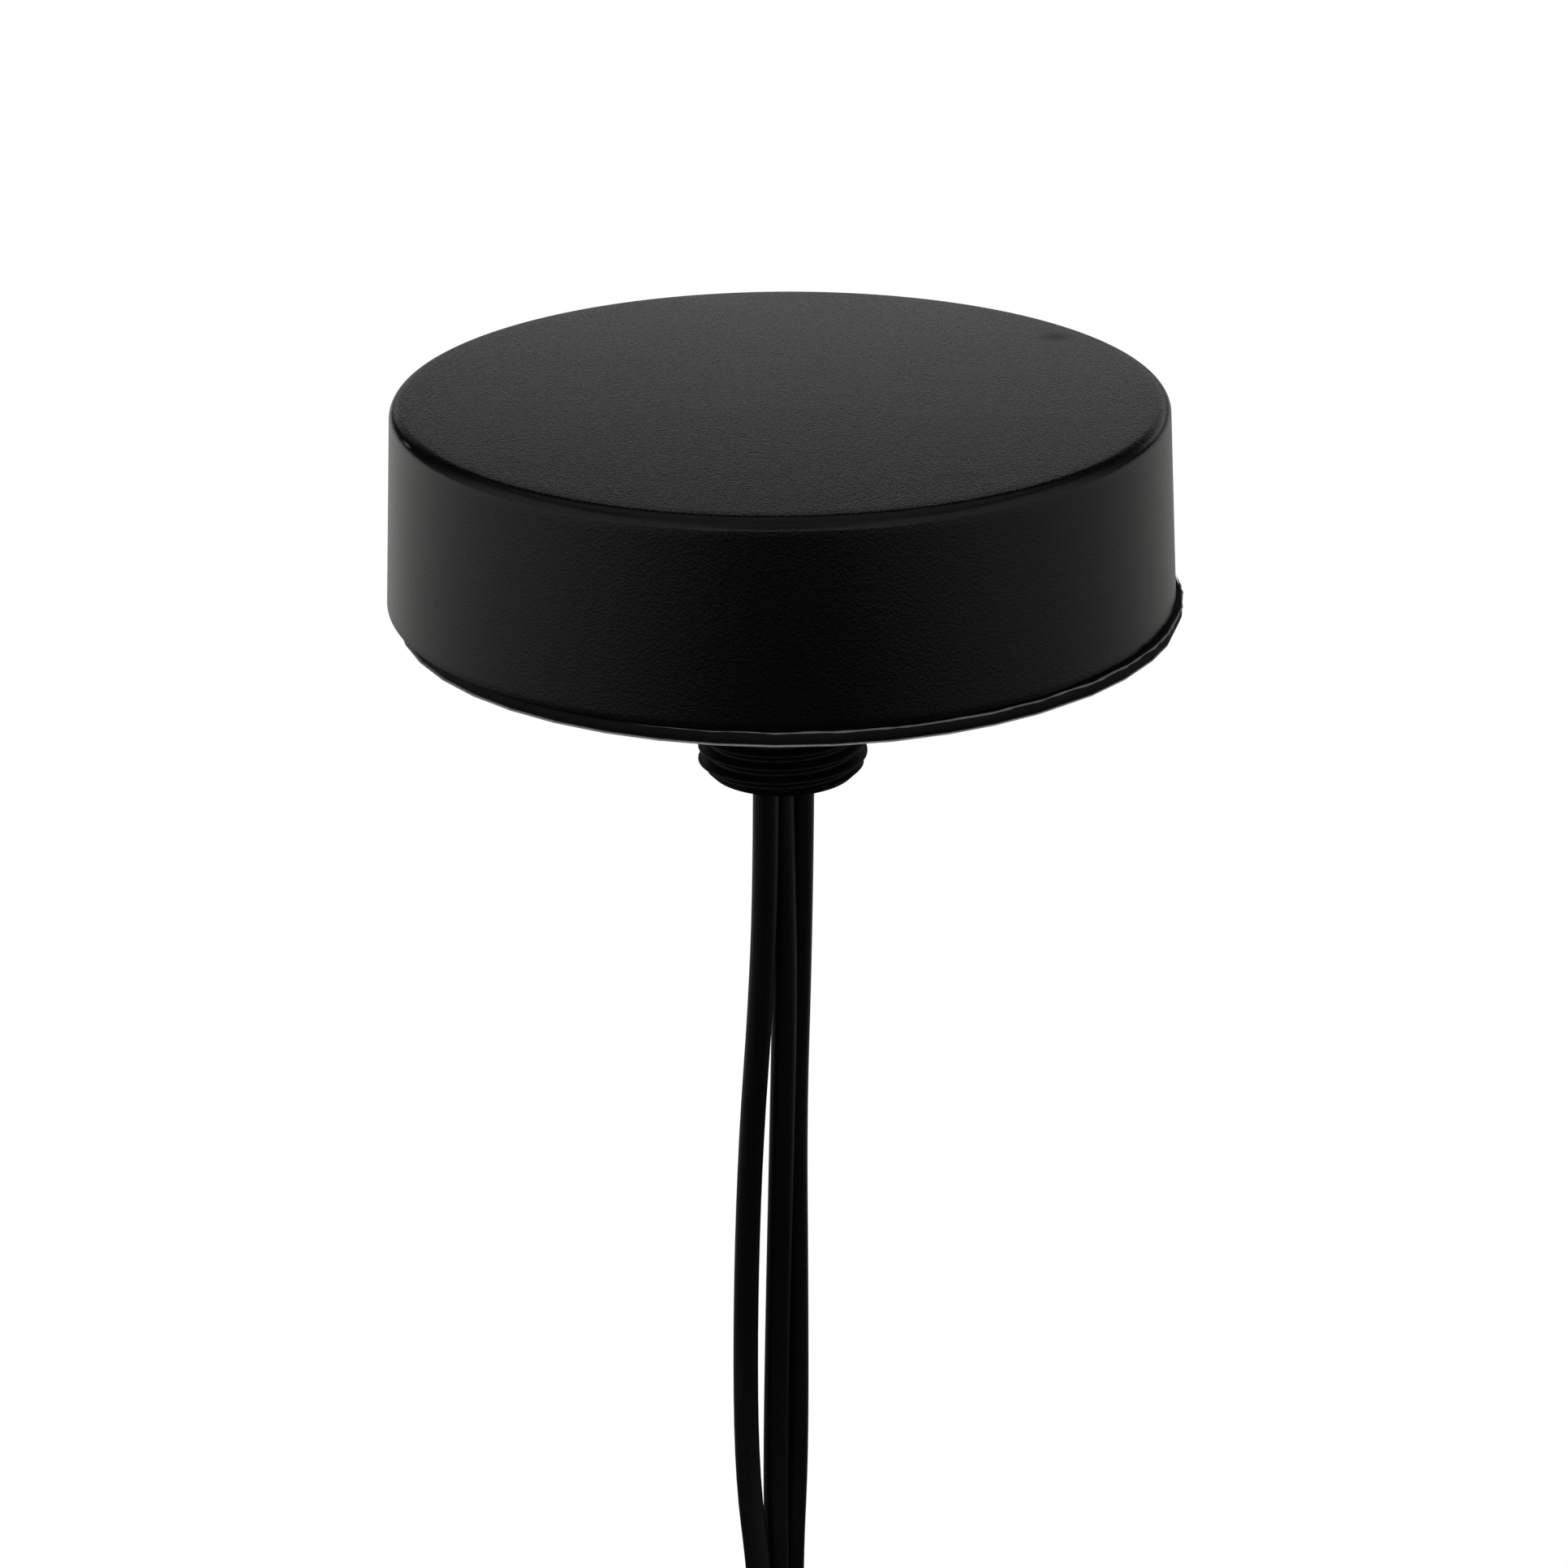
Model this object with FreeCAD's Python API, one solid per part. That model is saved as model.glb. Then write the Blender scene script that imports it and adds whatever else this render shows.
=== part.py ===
import FreeCAD, Part
import math
import os

# Low round roof antenna for satellite positioning, cellular and wireless network. A radome is screwed
# over a base whose hollow threaded stud goes down through a panel. Three coaxial leads hang from the
# stud, are wound into one tied coil, and end in screw-on plugs. Millimetres, +Z up. The origin is the
# middle of the seating face: the underside of the release liner, on the stud's axis.

V = FreeCAD.Vector
DOWN = V(0, 0, -1)
UP = V(0, 0, 1)
CENTRE = V(0, 0, 0)

# Seat: foam pad under the case and the liner under the pad, laid on by hand a little off centre
liner_thick = 0.2
foam_thick = 1.3
pad_r = 40.9
pad_flats = 44
pad_hole_r = 10.6
pad_shift = V(0.95, -0.5, 0)
case_low = liner_thick + foam_thick

# Case
case_foot_r = 41.2
case_brow_r = 40.2
case_top = 22.8
case_edge_r = 1.35
case_wall = 2.0
case_roof = 2.0
inner_edge_r = 0.8
boss_count = 4
boss_r = 2.8
boss_circle = 34.5
boss_hole_r = 1.25
boss_hole_deep = 8.0
rib_thick = 1.2
rib_gap = 2.0

# Base plate and its posts
plate_gap = 0.3
plate_thick = 3.0
bore_flare = 1.5
plate_top = case_low + plate_thick
seal_r = 0.7
seal_circle = 38.35
seal_z = case_low + 1.55
seal_groove_deep = 1.35
seal_groove_wide = 1.5
post_r = 2.4
post_circle = 23.0
post_hole_r = 1.05
board_z = 11.6

# Hollow stud, M18 x 1.5
stud_r = 9.0
stud_length = 18.7
stud_chamfer = 1.4
stud_bore_r = 5.0
thread_pitch = 1.5
thread_depth = 0.92
thread_root_half = 0.12
thread_over = 0.15
thread_end_z = -2.7
neck_low = -2.0
relief_low = -3.4
relief_deep = 1.0

# Fits: holes over screws, a screw's thread in its hole, and how far fused solids overlap
hole_gap = 0.1
board_hole_gap = 0.15
thread_gap = 0.03
overlap = 0.5

# Case screws
case_screw_r = 1.22
case_screw_head_r = 2.3
case_screw_head = 1.4
case_screw_length = 9.5
recess_wide = 0.6
recess_deep = 0.8
recess_reach = 0.6
head_dome = 0.45

# Board, satellite patch and amplifier
board_r = 30.0
board_thick = 1.2
board_top = board_z + board_thick
board_screw_r = 1.02
board_screw_head_r = 2.0
board_screw_head = 1.2
board_screw_length = 6.0
patch_size = 25.0
patch_thick = 4.0
patch_tape_size = 24.5
patch_tape_thick = 0.3
electrode_size = 21.0
electrode_thick = 0.12
electrode_corner = 2.2
feed_r = 0.45
feed_y = -1.9
feed_head_r = 1.1
feed_head_thick = 0.3
feed_below = 0.6
shield_size = V(16.0, 13.0, 2.6)
shield_wall = 0.25
shield_x = 8.0
chip_thick = 0.9
CHIPS = [(11.0, -2.5, 1.6), (15.5, 1.5, 2.0), (20.0, -1.5, 1.3)]

# Upright sheet-metal radiators and the ring that carries them
carrier_r = 26.9
carrier_thick = 0.9
carrier_tall = 4.6
radiator_r = 27.85
radiator_thick = 0.4
radiator_tall = 6.8
radiator_lift = 0.8
radiator_slot_wide = 1.0
radiator_slot_share = 0.55
radiator_foot_tall = 1.5
radiator_foot_deg = 3.0
radiator_foot_inset_deg = 4.0
CELLULAR_DEG = (-62, 62, 40)
WIFI_DEG = (148, 214, 18)

# Coaxial leads
cable_r = 1.4
arc_reach = 0.45
clamp_y = 2.9
clamp_x = -11.5
clamp_long = 4.0
clamp_half_wide = 8.0
clamp_screw_y = 6.3
clamp_gap = 0.2
clamp_thick = 1.6
clamp_screw_r = 0.8
clamp_screw_length = 5.2
clamp_screw_head_r = 1.5
clamp_screw_head = 0.9
inner_run_z = 8.7
inner_turn = 4.1
bore_turn_z = -8.1
rim_turn_z = 1.0
rim_turn_share = 0.8
rim_turn_spread = 0.97
rim_lean = 1.9
rim_drop = 2.1
inner_end_x = -17.0
terminal_r = 1.0
terminal_long = 2.4
wire_r = 0.35
wire_hole_r = 0.5
wire_x = -19.0
wire_above = 0.4
bung_low = -17.2
bung_tall = 5.0
bung_r = 4.95

# Coil of the put-away length: two flat spirals side by side, each three leads wide
coil_pitch = 2.85
coil_inner_r = 12.3
coil_centre = V(-0.1, 0, -161.0)
coil_turns = 6.604
tie_thick = 1.2
tie_wide = 7.0
UPPER_TIE_DEG = 56.0
LOWER_TIE_DEG = 236.0

# Screw-on coaxial plugs: heights above the reference plane, which is the insulator's open face
nut_flats = 8.0
nut_rim_over = 0.05
nut_corner_over = 0.02
nut_collar_r = 3.9
nut_mouth = -4.4
nut_thread_end = -1.7
nut_thread_r = 2.85
nut_relief_r = 3.2
nut_lip = 3.6
nut_hex_top = 3.4
nut_top = 5.0
neck_r = 2.6
neck_gap = 0.05
shell_front_r = 2.3
shell_flange_r = 3.05
shell_flange_low = 2.6
shell_flange_top = 3.4
shell_barrel_r = 3.2
shell_barrel_low = 5.25
shell_top = 8.5
shell_chamfer = 0.4
shell_rear_gap = 0.3
insulator_r = 2.05
insulator_top = 6.0
contact_r = 0.455
contact_tip = -1.5
contact_top = 7.0
contact_nose = 0.3
contact_tip_share = 0.45
ferrule_r = 2.1
ferrule_inner_r = 1.45
ferrule_top = 14.5
boot_r = 2.65
boot_low = 9.0
boot_top = 17.0
boot_end_r = 1.95
boot_gap = 0.05
cable_end = 8.7

# Each lead: its places in the bung, its hanging route, the route of its tail, and its plug's axis.
# The routes are points that the lead's middle line bends round.
LEADS = {
    "gnss": {
        "clamp_y": -clamp_y,
        "hang": [
            V(-1.8, -2.5, bung_low),
            V(-1.9, -2.4, -28.0),
            V(-2.45, -2.25, -43.0),
            V(-3.95, -1.95, -63.0),
            V(-4.7, -2.3, -84.0),
            V(-4.8, -4.2, -104.0),
            V(-3.2, -6.6, -118.0),
            V(-2.6, -7.1, -129.0),
        ],
        "tail": [
            V(31.0, 1.43, -161.0),
            V(31.1, 1.2, -171.0),
            V(30.5, -2.6, -183.2),
            V(29.5, -7.0, -196.2),
            V(29.5, -7.0, -209.6),
        ],
    },
    "cellular": {
        "clamp_y": 0.0,
        "hang": [
            V(-0.25, 0.15, bung_low),
            V(-0.15, 0.1, -28.0),
            V(0.05, 0.05, -43.0),
            V(-0.45, -0.1, -62.0),
            V(-1.05, -0.2, -83.0),
            V(-1.5, -2.2, -104.0),
            V(-1.4, -3.9, -118.0),
            V(-1.6, -4.28, -129.0),
        ],
        "tail": [
            V(31.0, 4.28, -161.0),
            V(31.2, 4.2, -173.0),
            V(31.3, 3.2, -187.8),
            V(31.0, 2.0, -204.3),
            V(31.0, 2.0, -220.6),
        ],
    },
    "wifi": {
        "clamp_y": clamp_y,
        "hang": [
            V(2.0, 2.3, bung_low),
            V(1.87, 2.35, -28.0),
            V(1.55, 2.55, -43.0),
            V(0.95, 2.6, -61.0),
            V(1.0, 2.3, -82.0),
            V(1.0, 0.9, -104.0),
            V(0.2, -0.9, -118.0),
            V(-0.3, -1.43, -129.0),
        ],
        "tail": [
            V(31.0, 7.13, -161.0),
            V(31.1, 7.4, -171.0),
            V(30.6, 9.0, -183.6),
            V(30.0, 11.0, -196.6),
            V(30.0, 11.0, -209.6),
        ],
    },
}


def save(shape, node):
    """One STEP file for a node; a group of alike pieces is a compound of separate solids."""
    shape.exportStep(os.path.join("parts", node + ".step"))


def turned(outline, centre=CENTRE):
    """Solid of revolution about the upright line through centre, from (radius, height) corners."""
    points = [V(r, 0, z) for r, z in outline]
    face = Part.Face(Part.makePolygon(points + [points[0]]))
    solid = face.revolve(CENTRE, UP, 360)
    solid.translate(centre)
    return solid


def rod(radius, low, top, x=0.0, y=0.0):
    """Upright round rod between two heights."""
    return Part.makeCylinder(radius, top - low, V(x, y, low))


def block(x0, x1, y0, y1, z0, z1):
    """Box between two corners."""
    return Part.makeBox(x1 - x0, y1 - y0, z1 - z0, V(x0, y0, z0))


def around(count, radius, first_deg=45.0):
    """Places evenly spaced on a circle."""
    angles = [math.radians(first_deg + 360.0 / count * i) for i in range(count)]
    return [V(radius * math.cos(a), radius * math.sin(a), 0) for a in angles]


def sector(r_in, r_out, z0, z1, start_deg, end_deg):
    """Part of an upright ring between two angles."""
    span = end_deg - start_deg
    ring = Part.makeCylinder(r_out, z1 - z0, V(0, 0, z0), UP, span)
    ring = ring.cut(rod(r_in, z0 - 1, z1 + 1))
    ring.rotate(CENTRE, UP, start_deg)
    return ring


def cable(points, name):
    """Round lead along straight runs joined by tangent arcs, each as wide as its runs allow."""
    edges = []
    last = points[0]
    radii = []
    for before, corner, after in zip(points, points[1:], points[2:]):
        way_in = (corner - before).normalize()
        way_out = (after - corner).normalize()
        turn = way_in.getAngle(way_out)
        reach = arc_reach * min(before.distanceToPoint(corner), corner.distanceToPoint(after))
        radius = reach / math.tan(turn / 2)
        start = corner - way_in * reach
        end = corner + way_out * reach
        towards = (way_out - way_in).normalize()
        centre = corner + towards * (reach / math.sin(turn / 2))
        middle = centre - towards * radius
        edges.append(Part.LineSegment(last, start).toShape())
        edges.append(Part.Arc(start, middle, end).toShape())
        last = end
        radii.append(round(radius, 1))
    edges.append(Part.LineSegment(last, points[-1]).toShape())
    path = Part.Wire(edges)
    ring = Part.Wire(Part.makeCircle(cable_r, points[0], points[1] - points[0]))
    solid = path.makePipeShell([ring], True, True)
    share = solid.Volume / (math.pi * cable_r**2 * path.Length)
    print(name, "radii", radii, "length", round(path.Length, 1), "volume share", round(share, 4))
    return solid


def radome():
    """Drafted cap with a flat roof, a small rounded brow, and four screw bosses inside."""
    cap = turned(
        [(0, case_low), (case_foot_r, case_low), (case_brow_r, case_top), (0, case_top)]
    )
    brow = [e for e in cap.Edges if abs(e.BoundBox.ZMin - case_top) < 1e-6 and e.BoundBox.XMax > 1]
    cap = cap.makeFillet(case_edge_r, brow)
    roof_low = case_top - case_roof
    room = turned(
        [
            (0, case_low - 1),
            (case_foot_r - case_wall, case_low - 1),
            (case_brow_r - case_wall, roof_low),
            (0, roof_low),
        ]
    )
    corner = [e for e in room.Edges if abs(e.BoundBox.ZMin - roof_low) < 1e-6 and e.BoundBox.XMax > 1]
    cap = cap.cut(room.makeFillet(inner_edge_r, corner))
    for place in around(boss_count, boss_circle):
        boss = rod(boss_r, plate_top, roof_low + overlap, place.x, place.y)
        rib = block(
            boss_circle,
            case_brow_r - case_wall / 2,
            -rib_thick / 2,
            rib_thick / 2,
            plate_top + rib_gap,
            roof_low + overlap,
        )
        rib.rotate(CENTRE, UP, math.degrees(math.atan2(place.y, place.x)))
        cap = cap.fuse(boss).fuse(rib)
    for place in around(boss_count, boss_circle):
        cap = cap.cut(rod(boss_hole_r, plate_top - 1, plate_top + boss_hole_deep, place.x, place.y))
    return cap.removeSplitter()


def stud_thread():
    """The helical groove that is cut from the stud."""
    start_z = -stud_length - thread_pitch / 2
    root_r = stud_r - thread_depth
    over_r = stud_r + thread_over
    spread = (over_r - root_r) * math.tan(math.radians(30))
    outline = [
        V(root_r, 0, start_z - thread_root_half),
        V(root_r, 0, start_z + thread_root_half),
        V(over_r, 0, start_z + thread_root_half + spread),
        V(over_r, 0, start_z - thread_root_half - spread),
    ]
    line = Part.makeHelix(thread_pitch, thread_end_z - start_z, stud_r)
    line.translate(V(0, 0, start_z))
    return Part.Wire(line.Edges).makePipeShell([Part.makePolygon(outline + [outline[0]])], True, True)


def stud():
    """Threaded shank with a chamfered tip, a relief groove where the thread ends, and a plain neck."""
    shank = rod(stud_r, -stud_length, case_low + overlap).cut(stud_thread())
    tip = turned(
        [
            (0, -stud_length),
            (stud_r - stud_chamfer, -stud_length),
            (stud_r + 1, -stud_length + stud_chamfer + 1),
            (stud_r + 1, case_low + 1),
            (0, case_low + 1),
        ]
    )
    relief = rod(stud_r + 1, relief_low, neck_low)
    return shank.common(tip).cut(relief.cut(rod(stud_r - relief_deep, relief_low, neck_low)))


def base():
    """Plate that closes the case, with the stud below and the board's posts and cable saddle above."""
    plate_r = case_foot_r - case_wall - plate_gap
    bore = turned(
        [
            (0, -stud_length - 1),
            (stud_bore_r, -stud_length - 1),
            (stud_bore_r, plate_top - bore_flare),
            (stud_bore_r + bore_flare, plate_top),
            (0, plate_top),
        ]
    )
    body = rod(plate_r, case_low, plate_top).fuse(stud()).cut(bore)
    groove_in = plate_r - seal_groove_deep
    groove = rod(plate_r + 1, seal_z - seal_groove_wide / 2, seal_z + seal_groove_wide / 2)
    body = body.cut(groove.cut(rod(groove_in, 0, plate_top)))
    for place in around(boss_count, boss_circle):
        hole_r = boss_hole_r + hole_gap
        sink_at = V(place.x, place.y, case_low)
        sink = Part.makeCone(case_screw_head_r + hole_gap, hole_r, case_screw_head, sink_at)
        body = body.cut(sink).cut(rod(hole_r, case_low, plate_top + 1, place.x, place.y))
    for place in around(boss_count, post_circle):
        body = body.fuse(rod(post_r, plate_top - overlap, board_z, place.x, place.y))
        hole_low = board_z - board_screw_length - overlap
        body = body.cut(rod(post_hole_r, hole_low, board_z + 1, place.x, place.y))
    saddle = block(
        clamp_x - clamp_long / 2,
        clamp_x + clamp_long / 2,
        -clamp_half_wide,
        clamp_half_wide,
        plate_top - overlap,
        inner_run_z,
    )
    saddle = saddle.cut(clamp_grooves())
    for y in (-clamp_screw_y, clamp_screw_y):
        saddle = saddle.cut(rod(clamp_screw_r + thread_gap, plate_top + 0.2, inner_run_z + 1, clamp_x, y))
    return body.fuse(saddle).removeSplitter()


def clamp_grooves():
    """Three round channels that the leads lie in, through the saddle and the clamp."""
    grooves = None
    for lead in LEADS.values():
        start = V(clamp_x - clamp_long, lead["clamp_y"], inner_run_z)
        groove = Part.makeCylinder(cable_r + thread_gap, 2 * clamp_long, start, V(1, 0, 0))
        grooves = groove if grooves is None else grooves.fuse(groove)
    return grooves


def cable_clamp():
    """Bar that holds the three leads down in the saddle."""
    bar = block(
        clamp_x - clamp_long / 2,
        clamp_x + clamp_long / 2,
        -clamp_half_wide,
        clamp_half_wide,
        inner_run_z + clamp_gap,
        inner_run_z + clamp_gap + clamp_thick,
    )
    bar = bar.cut(clamp_grooves())
    for y in (-clamp_screw_y, clamp_screw_y):
        bar = bar.cut(rod(clamp_screw_r + hole_gap, inner_run_z, inner_run_z + 3, clamp_x, y))
    return bar


def pan_screw(shank_r, length, head_r, head, x, y, seat_z):
    """Screw with a low domed head and a cross recess, its head's underside at seat_z."""
    shape = rod(shank_r, seat_z - length, seat_z + head / 2, x, y)
    cap = rod(head_r, seat_z, seat_z + head, x, y)
    rim = [e for e in cap.Edges if abs(e.BoundBox.ZMin - seat_z - head) < 1e-6]
    shape = shape.fuse(cap.makeFillet(head * head_dome, rim))
    top = seat_z + head
    return shape.cut(cross_recess(head_r * recess_reach, x, y, top - recess_deep * 0.7, top + 1))


def cross_recess(half_wide, x, y, z0, z1):
    """Two crossed slots."""
    half = recess_wide / 2
    one = block(x - half_wide, x + half_wide, y - half, y + half, z0, z1)
    two = block(x - half, x + half, y - half_wide, y + half_wide, z0, z1)
    return one.fuse(two)


def case_screws():
    """Countersunk screws that pull the radome down onto the base."""
    screws = []
    for place in around(boss_count, boss_circle):
        x, y = place.x, place.y
        head = Part.makeCone(case_screw_head_r, case_screw_r, case_screw_head, V(x, y, case_low))
        shank = rod(case_screw_r, case_low + case_screw_head, case_low + case_screw_length, x, y)
        reach = case_screw_head_r * recess_reach
        recess = cross_recess(reach, x, y, case_low - 1, case_low + recess_deep)
        screws.append(head.fuse(shank).cut(recess))
    return Part.makeCompound(screws)


def board_screws():
    """Pan-head screws that hold the board to its posts."""
    return Part.makeCompound(
        [
            pan_screw(
                board_screw_r,
                board_screw_length,
                board_screw_head_r,
                board_screw_head,
                place.x,
                place.y,
                board_top,
            )
            for place in around(boss_count, post_circle)
        ]
    )


def clamp_screws():
    """Small pan-head screws of the cable clamp."""
    return Part.makeCompound(
        [
            pan_screw(
                clamp_screw_r,
                clamp_screw_length,
                clamp_screw_head_r,
                clamp_screw_head,
                clamp_x,
                y,
                inner_run_z + clamp_gap + clamp_thick,
            )
            for y in (-clamp_screw_y, clamp_screw_y)
        ]
    )


def pad_outline():
    """The pad's cut edge: a circle that was cut by hand as short flats where it stands proud."""
    angles = [2 * math.pi * i / pad_flats for i in range(pad_flats)]
    points = [V(pad_r * math.cos(a), pad_r * math.sin(a), 0) + pad_shift for a in angles]
    return Part.Face(Part.makePolygon(points + [points[0]]))


def foam_pad():
    """Closed-cell foam ring with adhesive on both faces."""
    pad = pad_outline().extrude(V(0, 0, foam_thick))
    pad.translate(V(0, 0, liner_thick))
    return pad.cut(rod(pad_hole_r, 0, case_low + 1))


def release_liner():
    """White coated-paper liner that is peeled off when the antenna is fitted."""
    return pad_outline().extrude(V(0, 0, liner_thick)).cut(rod(pad_hole_r, -1, liner_thick + 1))


def seal_ring():
    """Round-section rubber ring in the base's groove."""
    return Part.makeTorus(seal_circle, seal_r, V(0, 0, seal_z))


def main_board():
    """Round circuit board, which is also the ground plane."""
    board = rod(board_r, board_z, board_top)
    for place in around(boss_count, post_circle):
        hole_r = board_screw_r + board_hole_gap
        board = board.cut(rod(hole_r, board_z - 1, board_top + 1, place.x, place.y))
    board = board.cut(rod(feed_r + board_hole_gap, board_z - 1, board_top + 1, 0, feed_y))
    for lead in LEADS.values():
        board = board.cut(rod(wire_hole_r, board_z - 1, board_top + 1, wire_x, lead["clamp_y"]))
    return board


def square_plate(size, low, thick, corner=0.0):
    """Square plate in the middle, with two opposite corners cut off if corner is more than 0."""
    h = size / 2
    points = [
        V(-h + corner, -h, low),
        V(h, -h, low),
        V(h, h - corner, low),
        V(h - corner, h, low),
        V(-h, h, low),
        V(-h, -h + corner, low),
    ]
    if corner == 0.0:
        points = [V(-h, -h, low), V(h, -h, low), V(h, h, low), V(-h, h, low)]
    plate = Part.Face(Part.makePolygon(points + [points[0]])).extrude(V(0, 0, thick))
    return plate.cut(rod(feed_r + board_hole_gap, low - 1, low + thick + 1, 0, feed_y))


def feed_pin():
    """Pin from the patch's silver face down through the ceramic and the board."""
    top = board_top + patch_tape_thick + patch_thick + electrode_thick
    pin = rod(feed_r, board_z - feed_below, top, 0, feed_y)
    return pin.fuse(rod(feed_head_r, top, top + feed_head_thick, 0, feed_y))


def lna_shield():
    """Folded tin can over the amplifier, on the board's underside."""
    x1 = shield_x + shield_size.x
    half = shield_size.y / 2
    can = block(shield_x, x1, -half, half, board_z - shield_size.z, board_z)
    w = shield_wall
    return can.cut(
        block(shield_x + w, x1 - w, -half + w, half - w, board_z - shield_size.z + w, board_z + 1)
    )


def lna_chips():
    """Amplifier, filter and regulator inside the can."""
    return Part.makeCompound(
        [block(x - h, x + h, y - h, y + h, board_z - chip_thick, board_z) for x, y, h in CHIPS]
    )


def radiator(start_deg, end_deg, slot_deg):
    """Upright strip bent round the board's edge, with a tuning slot and two solder feet."""
    strip = sector(
        radiator_r,
        radiator_r + radiator_thick,
        board_top + radiator_lift,
        board_top + radiator_tall,
        start_deg,
        end_deg,
    )
    slot_low = board_top + radiator_tall * radiator_slot_share
    slot_top = slot_low + radiator_slot_wide
    slot_start = (start_deg + end_deg) / 2 - slot_deg
    slot = sector(radiator_r - 1, radiator_r + 2, slot_low, slot_top, slot_start, end_deg + 1)
    strip = strip.cut(slot)
    for angle in (start_deg + radiator_foot_inset_deg, slot_start - radiator_foot_inset_deg):
        foot = sector(
            radiator_r,
            radiator_r + radiator_thick,
            board_top,
            board_top + radiator_foot_tall,
            angle,
            angle + radiator_foot_deg,
        )
        strip = strip.fuse(foot)
    return strip.removeSplitter()


def radiator_carrier():
    """Plastic ring that the radiators are staked to."""
    ring = rod(carrier_r + carrier_thick, board_top, board_top + carrier_tall)
    return ring.cut(rod(carrier_r, board_z, board_top + 10))


def cable_bung():
    """Rubber bung in the stud's bore, which seals the three leads and takes their pull."""
    bung = rod(bung_r, bung_low, bung_low + bung_tall)
    for lead in LEADS.values():
        start = lead["hang"][0]
        bung = bung.cut(rod(cable_r, bung_low - 1, bung_low + bung_tall + 1, start.x, start.y))
    return bung


def inner_lead(lead, name):
    """The lead inside: up through the bung and the bore, over to the clamp, and on to the board."""
    start = lead["hang"][0]
    y = lead["clamp_y"]
    x = start.x * rim_turn_share
    points = [
        start,
        V(start.x, start.y, bore_turn_z),
        V(x, y * rim_turn_spread, rim_turn_z),
        V(x - rim_lean, y, inner_run_z - rim_drop),
        V(x - rim_lean - inner_turn, y, inner_run_z),
        V(inner_end_x, y, inner_run_z),
    ]
    return cable(points, name + "_lead_inner")


def lead_terminals():
    """Crimped braid sleeve and bent centre wire at each lead's end, soldered to the board."""
    ends = []
    for lead in LEADS.values():
        y = lead["clamp_y"]
        start = V(inner_end_x, y, inner_run_z)
        sleeve = Part.makeCylinder(terminal_r, terminal_long, start, V(-1, 0, 0))
        wire = rod(wire_r, inner_run_z, board_top + wire_above, wire_x, y)
        ends.append(sleeve.fuse(wire))
    return Part.makeCompound(ends)


def coil_section():
    """Inner radius, outer radius and half thickness of the wound coil."""
    outer = coil_inner_r + coil_pitch * coil_turns + cable_r
    return coil_inner_r - cable_r, outer, 3 * coil_pitch


def lying_ring(r_in, r_out, half_thick):
    """Ring whose axis runs along Y through the coil's centre."""
    ring = Part.makeCylinder(r_out, 2 * half_thick, V(0, -half_thick, 0), V(0, 1, 0))
    hole = Part.makeCylinder(r_in, 2 * half_thick, V(0, -half_thick, 0), V(0, 1, 0))
    ring = ring.cut(hole)
    ring.translate(coil_centre)
    return ring


def cable_coil():
    """The put-away length of all three leads, as the outer shape of their coil."""
    inner, outer, half = coil_section()
    return lying_ring(inner, outer, half)


def coil_tie(middle_deg):
    """Strap wrapped once round the coil's turns."""
    inner, outer, half = coil_section()
    side = half + tie_thick
    width = Part.makeBox(2 * outer, 2 * side, tie_wide, V(0, -side, -tie_wide / 2))
    width.rotate(CENTRE, V(0, -1, 0), middle_deg)
    width.translate(coil_centre)
    strap = lying_ring(inner - tie_thick, outer + tie_thick, side).common(width)
    return strap.cut(cable_coil())


def hexagon(flats, low, top):
    """Upright hexagonal bar whose corners are turned off at both ends."""
    corner_r = flats / math.sqrt(3)
    points = [
        V(corner_r * math.cos(math.radians(60 * i)), corner_r * math.sin(math.radians(60 * i)), low)
        for i in range(6)
    ]
    bar = Part.Face(Part.makePolygon(points + [points[0]])).extrude(V(0, 0, top - low))
    rim = flats / 2 + nut_rim_over
    slope = corner_r - rim
    wide_r = corner_r + nut_corner_over
    envelope = turned(
        [
            (0, low),
            (rim, low),
            (wide_r, low + slope),
            (wide_r, top - slope),
            (rim, top),
            (0, top),
        ]
    )
    return bar.common(envelope)


def plug_nut():
    """Coupling nut, which turns freely on the plug's neck and screws onto a socket."""
    nut = hexagon(nut_flats, nut_mouth, nut_hex_top).fuse(rod(nut_collar_r, nut_hex_top, nut_top))
    nut = nut.cut(rod(nut_thread_r, nut_mouth - 1, nut_thread_end + overlap))
    nut = nut.cut(rod(nut_relief_r, nut_thread_end, nut_lip))
    return nut.cut(rod(neck_r + neck_gap, nut_lip - overlap, nut_top + 1)).removeSplitter()


def plug_shell():
    """Turned outer conductor: front sleeve, flange and neck that hold the nut, and rear barrel."""
    return turned(
        [
            (insulator_r, 0),
            (shell_front_r, 0),
            (shell_front_r, shell_flange_low),
            (shell_flange_r, shell_flange_low),
            (shell_flange_r, shell_flange_top),
            (neck_r, shell_flange_top),
            (neck_r, shell_barrel_low),
            (shell_barrel_r, shell_barrel_low),
            (shell_barrel_r, shell_top - shell_chamfer),
            (shell_barrel_r - shell_chamfer, shell_top),
            (contact_r + shell_rear_gap, shell_top),
            (contact_r + shell_rear_gap, insulator_top),
            (insulator_r, insulator_top),
        ]
    )


def plug_insulator():
    """White insulator between the contact and the shell."""
    return turned(
        [(contact_r, 0), (insulator_r, 0), (insulator_r, insulator_top), (contact_r, insulator_top)]
    )


def plug_contact():
    """Round centre contact with a tapered nose."""
    return turned(
        [
            (0, contact_tip),
            (contact_r * contact_tip_share, contact_tip),
            (contact_r, contact_tip + contact_nose),
            (contact_r, contact_top),
            (0, contact_top),
        ]
    )


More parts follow.
